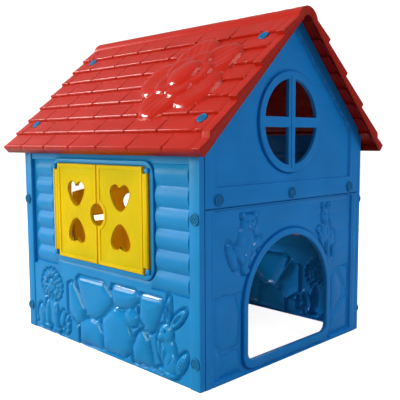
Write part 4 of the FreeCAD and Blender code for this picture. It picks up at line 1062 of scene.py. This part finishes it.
def build_roof():
    rows = roof_rows()
    columns = sorted({round(c, 3) for row in (0, 1) for c in tile_columns(row)})
    joint = (-JOINT_HALF, -JOINT_HALF/2.0, 0.0, JOINT_HALF/2.0, JOINT_HALF)
    lines = lines_between(-ROOF_HALF, ROOF_HALF, 16.0, fine=[(48.0, 404.0, 4.4)],
                          features=[(c, joint) for c in columns]
                          + [(ROOF_HALF - VERGE, (-1.5, -0.4, 0.6, 2.0)), (ROOF_HALF - 6.0, (-1.5, 0, 1.5))]
                          + [(side*(HALF_LENGTH - ROOF_BOLT_REACH), (-19, -17, -9, 0, 9, 17, 19))
                             for side in (-1, 1)])
    us = np.concatenate(([-ROOF_HALF]*2, lines[1:-1], [ROOF_HALF]*2))
    ds = np.concatenate((rows, [EAVE, EAVE]))
    last_row = len(rows) - 1
    rim_bottom = TILE_FACE - RIM_DEPTH

    def shape(i, j, u, d):
        count = len(us) - 1
        roll = d < math.sqrt(RIDGE_RADIUS**2 - TILE_FACE**2) + 0.2
        circle_n = np.sqrt(np.maximum(RIDGE_RADIUS**2 - d**2, 0.0))
        relief = tiles(u, d)
        petals = flower(u, d)
        polish = ease((petals + 4.0)/4.0)*(petals > -5.0)
        for row in range(TILE_ROWS - 1):
            beyond = d - (FIRST_ROW + row*ROW_PITCH)
            polish = np.maximum(polish, 0.5*ease((beyond + 8.0)/3.0)*(beyond < 0.2))
        relief = np.where(petals > -5.0, np.maximum(petals + 2.0, relief*0.3), relief)
        relief = np.where(u > ROOF_HALF - VERGE, verge_tiles(d), relief)
        gutter = ease(1.0 - np.abs(u - (ROOF_HALF - VERGE - 1.0))/2.5)
        relief = relief - 2.0*gutter*(d < EAVE - 4.0)
        for side in (-1, 1):
            for down in ROOF_BOLTS:
                away = np.hypot(u - side*(HALF_LENGTH - ROOF_BOLT_REACH), d - down)
                relief = np.where(away < HEAD_RADIUS + 2.0, 0.0, relief)
        n = np.where(roll, circle_n, TILE_FACE + relief)
        edge = np.minimum(ROOF_HALF - np.abs(u), EAVE - d)
        n = n - np.where(roll, 0.0, 1.6*ease(1.0 - edge/2.5))
        rim = (i == 0) | (i == count) | (j > last_row + 1)
        low_d = np.where(roll, d*rim_bottom/RIDGE_RADIUS, np.minimum(d, EAVE))
        low_n = np.where(roll, circle_n*rim_bottom/RIDGE_RADIUS, rim_bottom)
        d_out = np.where(rim, low_d, np.minimum(d, EAVE))
        n_out = np.where(rim, low_n, n)
        x = d_out*math.cos(PITCH) + n_out*math.sin(PITCH)
        z = RIDGE_CENTRE - d_out*math.sin(PITCH) + n_out*math.cos(PITCH)
        return np.stack((np.maximum(x, 0.3), -u, z), axis=1), polish

    for label, mirrored in (("roof_right", False), ("roof_left", True)):
        bm = moulded_sheet(us, ds, shape)
        bmesh.ops.remove_doubles(bm, verts=bm.verts[:], dist=0.01)
        if mirrored:
            bmesh.ops.scale(bm, vec=(-1, 1, 1), verts=bm.verts[:])
        bmesh.ops.recalc_face_normals(bm, faces=bm.faces[:])
        upward = sum(face.normal.z*face.calc_area() for face in bm.faces)
        if upward < 0:
            bmesh.ops.reverse_faces(bm, faces=bm.faces[:])
        finish_piece(f"{label}_panel", bm, plastic("roof"), "house", [label], skin=reliefs().skin)


# ------------------------------------------------------------------ bolts and nuts

def bolt_shape(grip):
    """A bolt about +Z, its head's underside at 0: a dished head with a grip bar and a ribbed rim."""
    r, top = HEAD_RADIUS, HEAD_HEIGHT
    head = turned_part([(0.0, 0.0), (r - 1.0, 0.0), (r, 1.0), (r, top - 1.4), (r - 1.2, top), (r - 3.0, top),
                        (r - 4.2, top - 1.8), (0.0, top - 2.2)], steps=40)
    ribs = []
    for shift, reach in ((-6.0, 7.5), (0.0, r - 4.5), (6.0, 7.5)):
        bar = block((-reach, shift - 1.6, top - 3.0), (reach, shift + 1.6, top - 0.2), edge=1.0)
        ribs.append(moved(bar, Matrix.Rotation(0.9, 4, "Z")))
    for k in range(12):
        rib = block((r - 4.4, -0.9, top - 2.2), (r - 2.2, 0.9, top), edge=0.4)
        ribs.append(moved(rib, Matrix.Rotation(2*math.pi*k/12, 4, "Z")))
    end = -(grip + 8.0)
    thread = [(0.0, end), (5.0, end), (6.0, end + 1.2)]
    turns = 5
    for k in range(turns):
        start = end + 1.5 + k*1.5
        thread += [(6.0, start), (5.5, start + 0.75)]
    thread += [(6.0, end + 1.5 + turns*1.5), (6.0, 0.0), (0.0, 0.0)]
    return gathered([head, turned_part(thread, steps=20)] + ribs)


def nut_shape():
    """A nut about +Z from 0 to 8, with lobes for the fingers."""
    bore, outer, height = 6.1, 10.0, 8.0
    lobes = []
    for k in range(72):
        angle = 2*math.pi*k/72
        radius = outer - 0.9 + 0.9*math.cos(6*angle)
        lobes.append((radius*math.cos(angle), radius*math.sin(angle)))
    return plate([lobes, circle(0, 0, bore, 32)], height, edge=0.7, top=height)


def axis_frame(spot, outward):
    """A frame at a spot whose Z points outwards."""
    return Matrix.Translation(spot) @ Vector(outward).to_track_quat("Z", "Y").to_matrix().to_4x4()


def fasten(label, spots, outward, grip):
    """The bolts of one group on their seats, and the nuts behind them."""
    bolts = [moved(bolt_shape(grip), axis_frame(spot, outward)) for spot in spots]
    inward = -Vector(outward)*(grip + 8.0)
    nuts = [moved(nut_shape(), axis_frame(Vector(spot) + inward, outward)) for spot in spots]
    for kind, parts in (("bolt", bolts), ("nut", nuts)):
        finish_piece(f"{label}_{kind}_set", gathered(parts), plastic("bolt"), "house",
                     [f"{label}_{kind}s"])


def build_fasteners():
    skin = 3.0
    for label, side in (("left_wall", -1), ("right_wall", 1)):
        low, high = node_box(f"{label}_bolts")
        reach = high.y - HEAD_RADIUS
        spots = [(side*SIDE_FACE, end*reach, level) for end in (-1, 1)
                 for level in (low.z + HEAD_RADIUS, high.z - HEAD_RADIUS)]
        fasten(label, spots, (side, 0, 0), POST_DEPTH + skin + 0.4)
    for label, side in (("front_rail", -1), ("rear_rail", 1)):
        low, high = node_box(f"{label}_bolts")
        reach = high.x - HEAD_RADIUS
        places = (-reach, 0.0, reach) if side < 0 else (-reach, reach)
        spots = [(x, side*HALF_LENGTH, (low.z + high.z)/2.0) for x in places]
        fasten(label, spots, (0, side, 0), 2*skin + 0.4)
    for label, side in (("roof_right", 1), ("roof_left", -1)):
        spots = []
        for end in (-1, 1):
            for down in ROOF_BOLTS:
                x = down*math.cos(PITCH) + TILE_FACE*math.sin(PITCH)
                z = RIDGE_CENTRE - down*math.sin(PITCH) + TILE_FACE*math.cos(PITCH)
                spots.append((side*x, end*(HALF_LENGTH - ROOF_BOLT_REACH), z))
        fasten(label, spots, (side*math.sin(PITCH), 0, math.cos(PITCH)), 2*skin + 0.4)


# ------------------------------------------------------------------ floor, light and camera

def whiten(tree, socket, lit, seen):
    """Give a glow one strength as light on the house and another as the white backdrop."""
    strength = tree.nodes.new("ShaderNodeMapRange")
    strength.inputs["To Min"].default_value = lit
    strength.inputs["To Max"].default_value = seen
    tree.links.new(tree.nodes.new("ShaderNodeLightPath").outputs["Is Camera Ray"], strength.inputs["Value"])
    tree.links.new(strength.outputs["Result"], socket)


def build_stage():
    bm = bmesh.new()
    bmesh.ops.create_grid(bm, x_segments=1, y_segments=1, size=40.0)
    mesh = bpy.data.meshes.new("floor")
    bm.to_mesh(mesh)
    bm.free()
    floor = bpy.data.objects.new("floor", mesh)
    bpy.context.scene.collection.objects.link(floor)
    material = bpy.data.materials.new("pale_floor")
    material.use_nodes = True
    shader = material.node_tree.nodes["Principled BSDF"]
    shader.inputs["Base Color"].default_value = (0.38, 0.38, 0.38, 1.0)
    shader.inputs["Roughness"].default_value = 0.9
    shader.inputs["Specular IOR Level"].default_value = 0.0
    shader.inputs["Emission Color"].default_value = (1.0, 1.0, 1.0, 1.0)
    whiten(material.node_tree, shader.inputs["Emission Strength"], 0.04, 0.90)
    mesh.materials.append(material)

    world = bpy.context.scene.world or bpy.data.worlds.new("studio")
    bpy.context.scene.world = world
    world.use_nodes = True
    sky = world.node_tree.nodes["Background"]
    sky.inputs["Color"].default_value = (1.0, 1.0, 1.0, 1.0)
    whiten(world.node_tree, sky.inputs["Strength"], 0.34, 1.15)

    for name, spot, size, power, colour in (
            ("side_softbox", (-3.9, 0.2, 1.5), (1.4, 2.2), 108.0, (1.0, 0.96, 0.52)),
            ("log_softbox", (-2.7, 3.1, 1.3), (0.9, 1.3), 48.0, (1.0, 0.96, 0.85)),
            ("far_softbox", (3.4, 2.0, 1.9), (1.6, 1.6), 170.0, (1.0, 1.0, 1.0)),
            ("rear_softbox", (-1.6, 3.2, 2.7), (1.2, 0.4), 105.0, (1.0, 1.0, 1.0)),
            ("front_softbox", (0.6, -4.4, 2.4), (2.0, 1.0), 68.0, (1.0, 1.0, 1.0)),
            ("top_softbox", (-0.8, -0.4, 4.6), (2.0, 2.0), 60.0, (1.0, 1.0, 1.0))):
        light = bpy.data.lights.new(name, "AREA")
        light.shape = "RECTANGLE"
        light.size, light.size_y = size
        light.energy = power
        light.color = colour
        lamp = bpy.data.objects.new(name, light)
        bpy.context.scene.collection.objects.link(lamp)
        lamp.location = spot
        aim = Vector((0.0, 0.0, 0.45)) - Vector(spot)
        lamp.rotation_euler = aim.to_track_quat("-Z", "Y").to_euler()

    camera_data = bpy.data.cameras.new("camera")
    camera_data.sensor_width = 36.0
    camera_data.lens = 36.0*609.98/400.0
    camera = bpy.data.objects.new("camera", camera_data)
    bpy.context.scene.collection.objects.link(camera)
    yaw, pitch, roll = (math.radians(a) for a in (44.7465, -5.678, -0.303))
    forward = Vector((math.sin(yaw)*math.cos(pitch), math.cos(yaw)*math.cos(pitch), math.sin(pitch)))
    turn = forward.to_track_quat("-Z", "Y").to_matrix().to_4x4() @ Matrix.Rotation(roll, 4, "Z")
    camera.matrix_world = Matrix.Translation((-1.498, -1.561, 0.676)) @ turn
    bpy.context.scene.camera = camera
    bpy.context.scene.view_settings.view_transform = "Standard"


# ------------------------------------------------------------------ operators and panel

class PLAYHOUSE_OT_window_walls(bpy.types.Operator):
    """Build both window walls with their logs, stones, animals, frames and posts"""
    bl_idname = "playhouse.window_walls"
    bl_label = "Window Walls"

    def execute(self, context):
        build_window_wall("left_wall", False)
        build_window_wall("right_wall", True)
        return {"FINISHED"}


class PLAYHOUSE_OT_shutters(bpy.types.Operator):
    """Build the four shutters with their hearts, finger holes and hinge barrels"""
    bl_idname = "playhouse.shutters"
    bl_label = "Shutters"

    def execute(self, context):
        for label, (end, turned) in SHUTTERS.items():
            build_shutter(label, end, turned)
        return {"FINISHED"}


class PLAYHOUSE_OT_gable_walls(bpy.types.Operator):
    """Build the front and rear gable walls, each of a lower and an upper panel"""
    bl_idname = "playhouse.gable_walls"
    bl_label = "Gable Walls"

    def execute(self, context):
        build_gable("front_wall", "front_gable", False)
        build_gable("rear_wall", "rear_gable", True)
        return {"FINISHED"}


class PLAYHOUSE_OT_half_door(bpy.types.Operator):
    """Build the half door in the rear wall"""
    bl_idname = "playhouse.half_door"
    bl_label = "Half Door"

    def execute(self, context):
        build_half_door()
        return {"FINISHED"}


class PLAYHOUSE_OT_roof(bpy.types.Operator):
    """Build both roof panels with their tiles, ridge roll and flower"""
    bl_idname = "playhouse.roof"
    bl_label = "Roof"

    def execute(self, context):
        build_roof()
        return {"FINISHED"}


class PLAYHOUSE_OT_fasteners(bpy.types.Operator):
    """Build the plastic bolts and nuts"""
    bl_idname = "playhouse.fasteners"
    bl_label = "Bolts and Nuts"

    def execute(self, context):
        build_fasteners()
        return {"FINISHED"}


class PLAYHOUSE_OT_stage(bpy.types.Operator):
    """Lay the floor and place the lights and the camera"""
    bl_idname = "playhouse.stage"
    bl_label = "Floor, Lights and Camera"

    def execute(self, context):
        build_stage()
        return {"FINISHED"}


OPERATORS = (
    PLAYHOUSE_OT_window_walls,
    PLAYHOUSE_OT_shutters,
    PLAYHOUSE_OT_gable_walls,
    PLAYHOUSE_OT_half_door,
    PLAYHOUSE_OT_roof,
    PLAYHOUSE_OT_fasteners,
    PLAYHOUSE_OT_stage,
)


class PLAYHOUSE_PT_panel(bpy.types.Panel):
    """Sizes, colours and building steps of the playhouse"""
    bl_label = "Playhouse"
    bl_idname = "PLAYHOUSE_PT_panel"
    bl_space_type = "VIEW_3D"
    bl_region_type = "UI"
    bl_category = "Playhouse"

    def draw(self, context):
        for group in (context.scene.playhouse_reliefs, context.scene.playhouse_colours):
            for name in group.__annotations__:
                self.layout.prop(group, name)
        for operator in OPERATORS:
            self.layout.operator(operator.bl_idname)


CLASSES = (PlayhouseReliefs, PlayhouseColours, *OPERATORS, PLAYHOUSE_PT_panel)


def register():
    for item in CLASSES:
        bpy.utils.register_class(item)
    bpy.types.Scene.playhouse_reliefs = bpy.props.PointerProperty(type=PlayhouseReliefs)
    bpy.types.Scene.playhouse_colours = bpy.props.PointerProperty(type=PlayhouseColours)


def unregister():
    del bpy.types.Scene.playhouse_colours
    del bpy.types.Scene.playhouse_reliefs
    for item in reversed(CLASSES):
        bpy.utils.unregister_class(item)


def main():
    register()
    for operator in OPERATORS:
        group, name = operator.bl_idname.split(".")
        getattr(getattr(bpy.ops, group), name)()


if __name__ == "__main__":
    main()
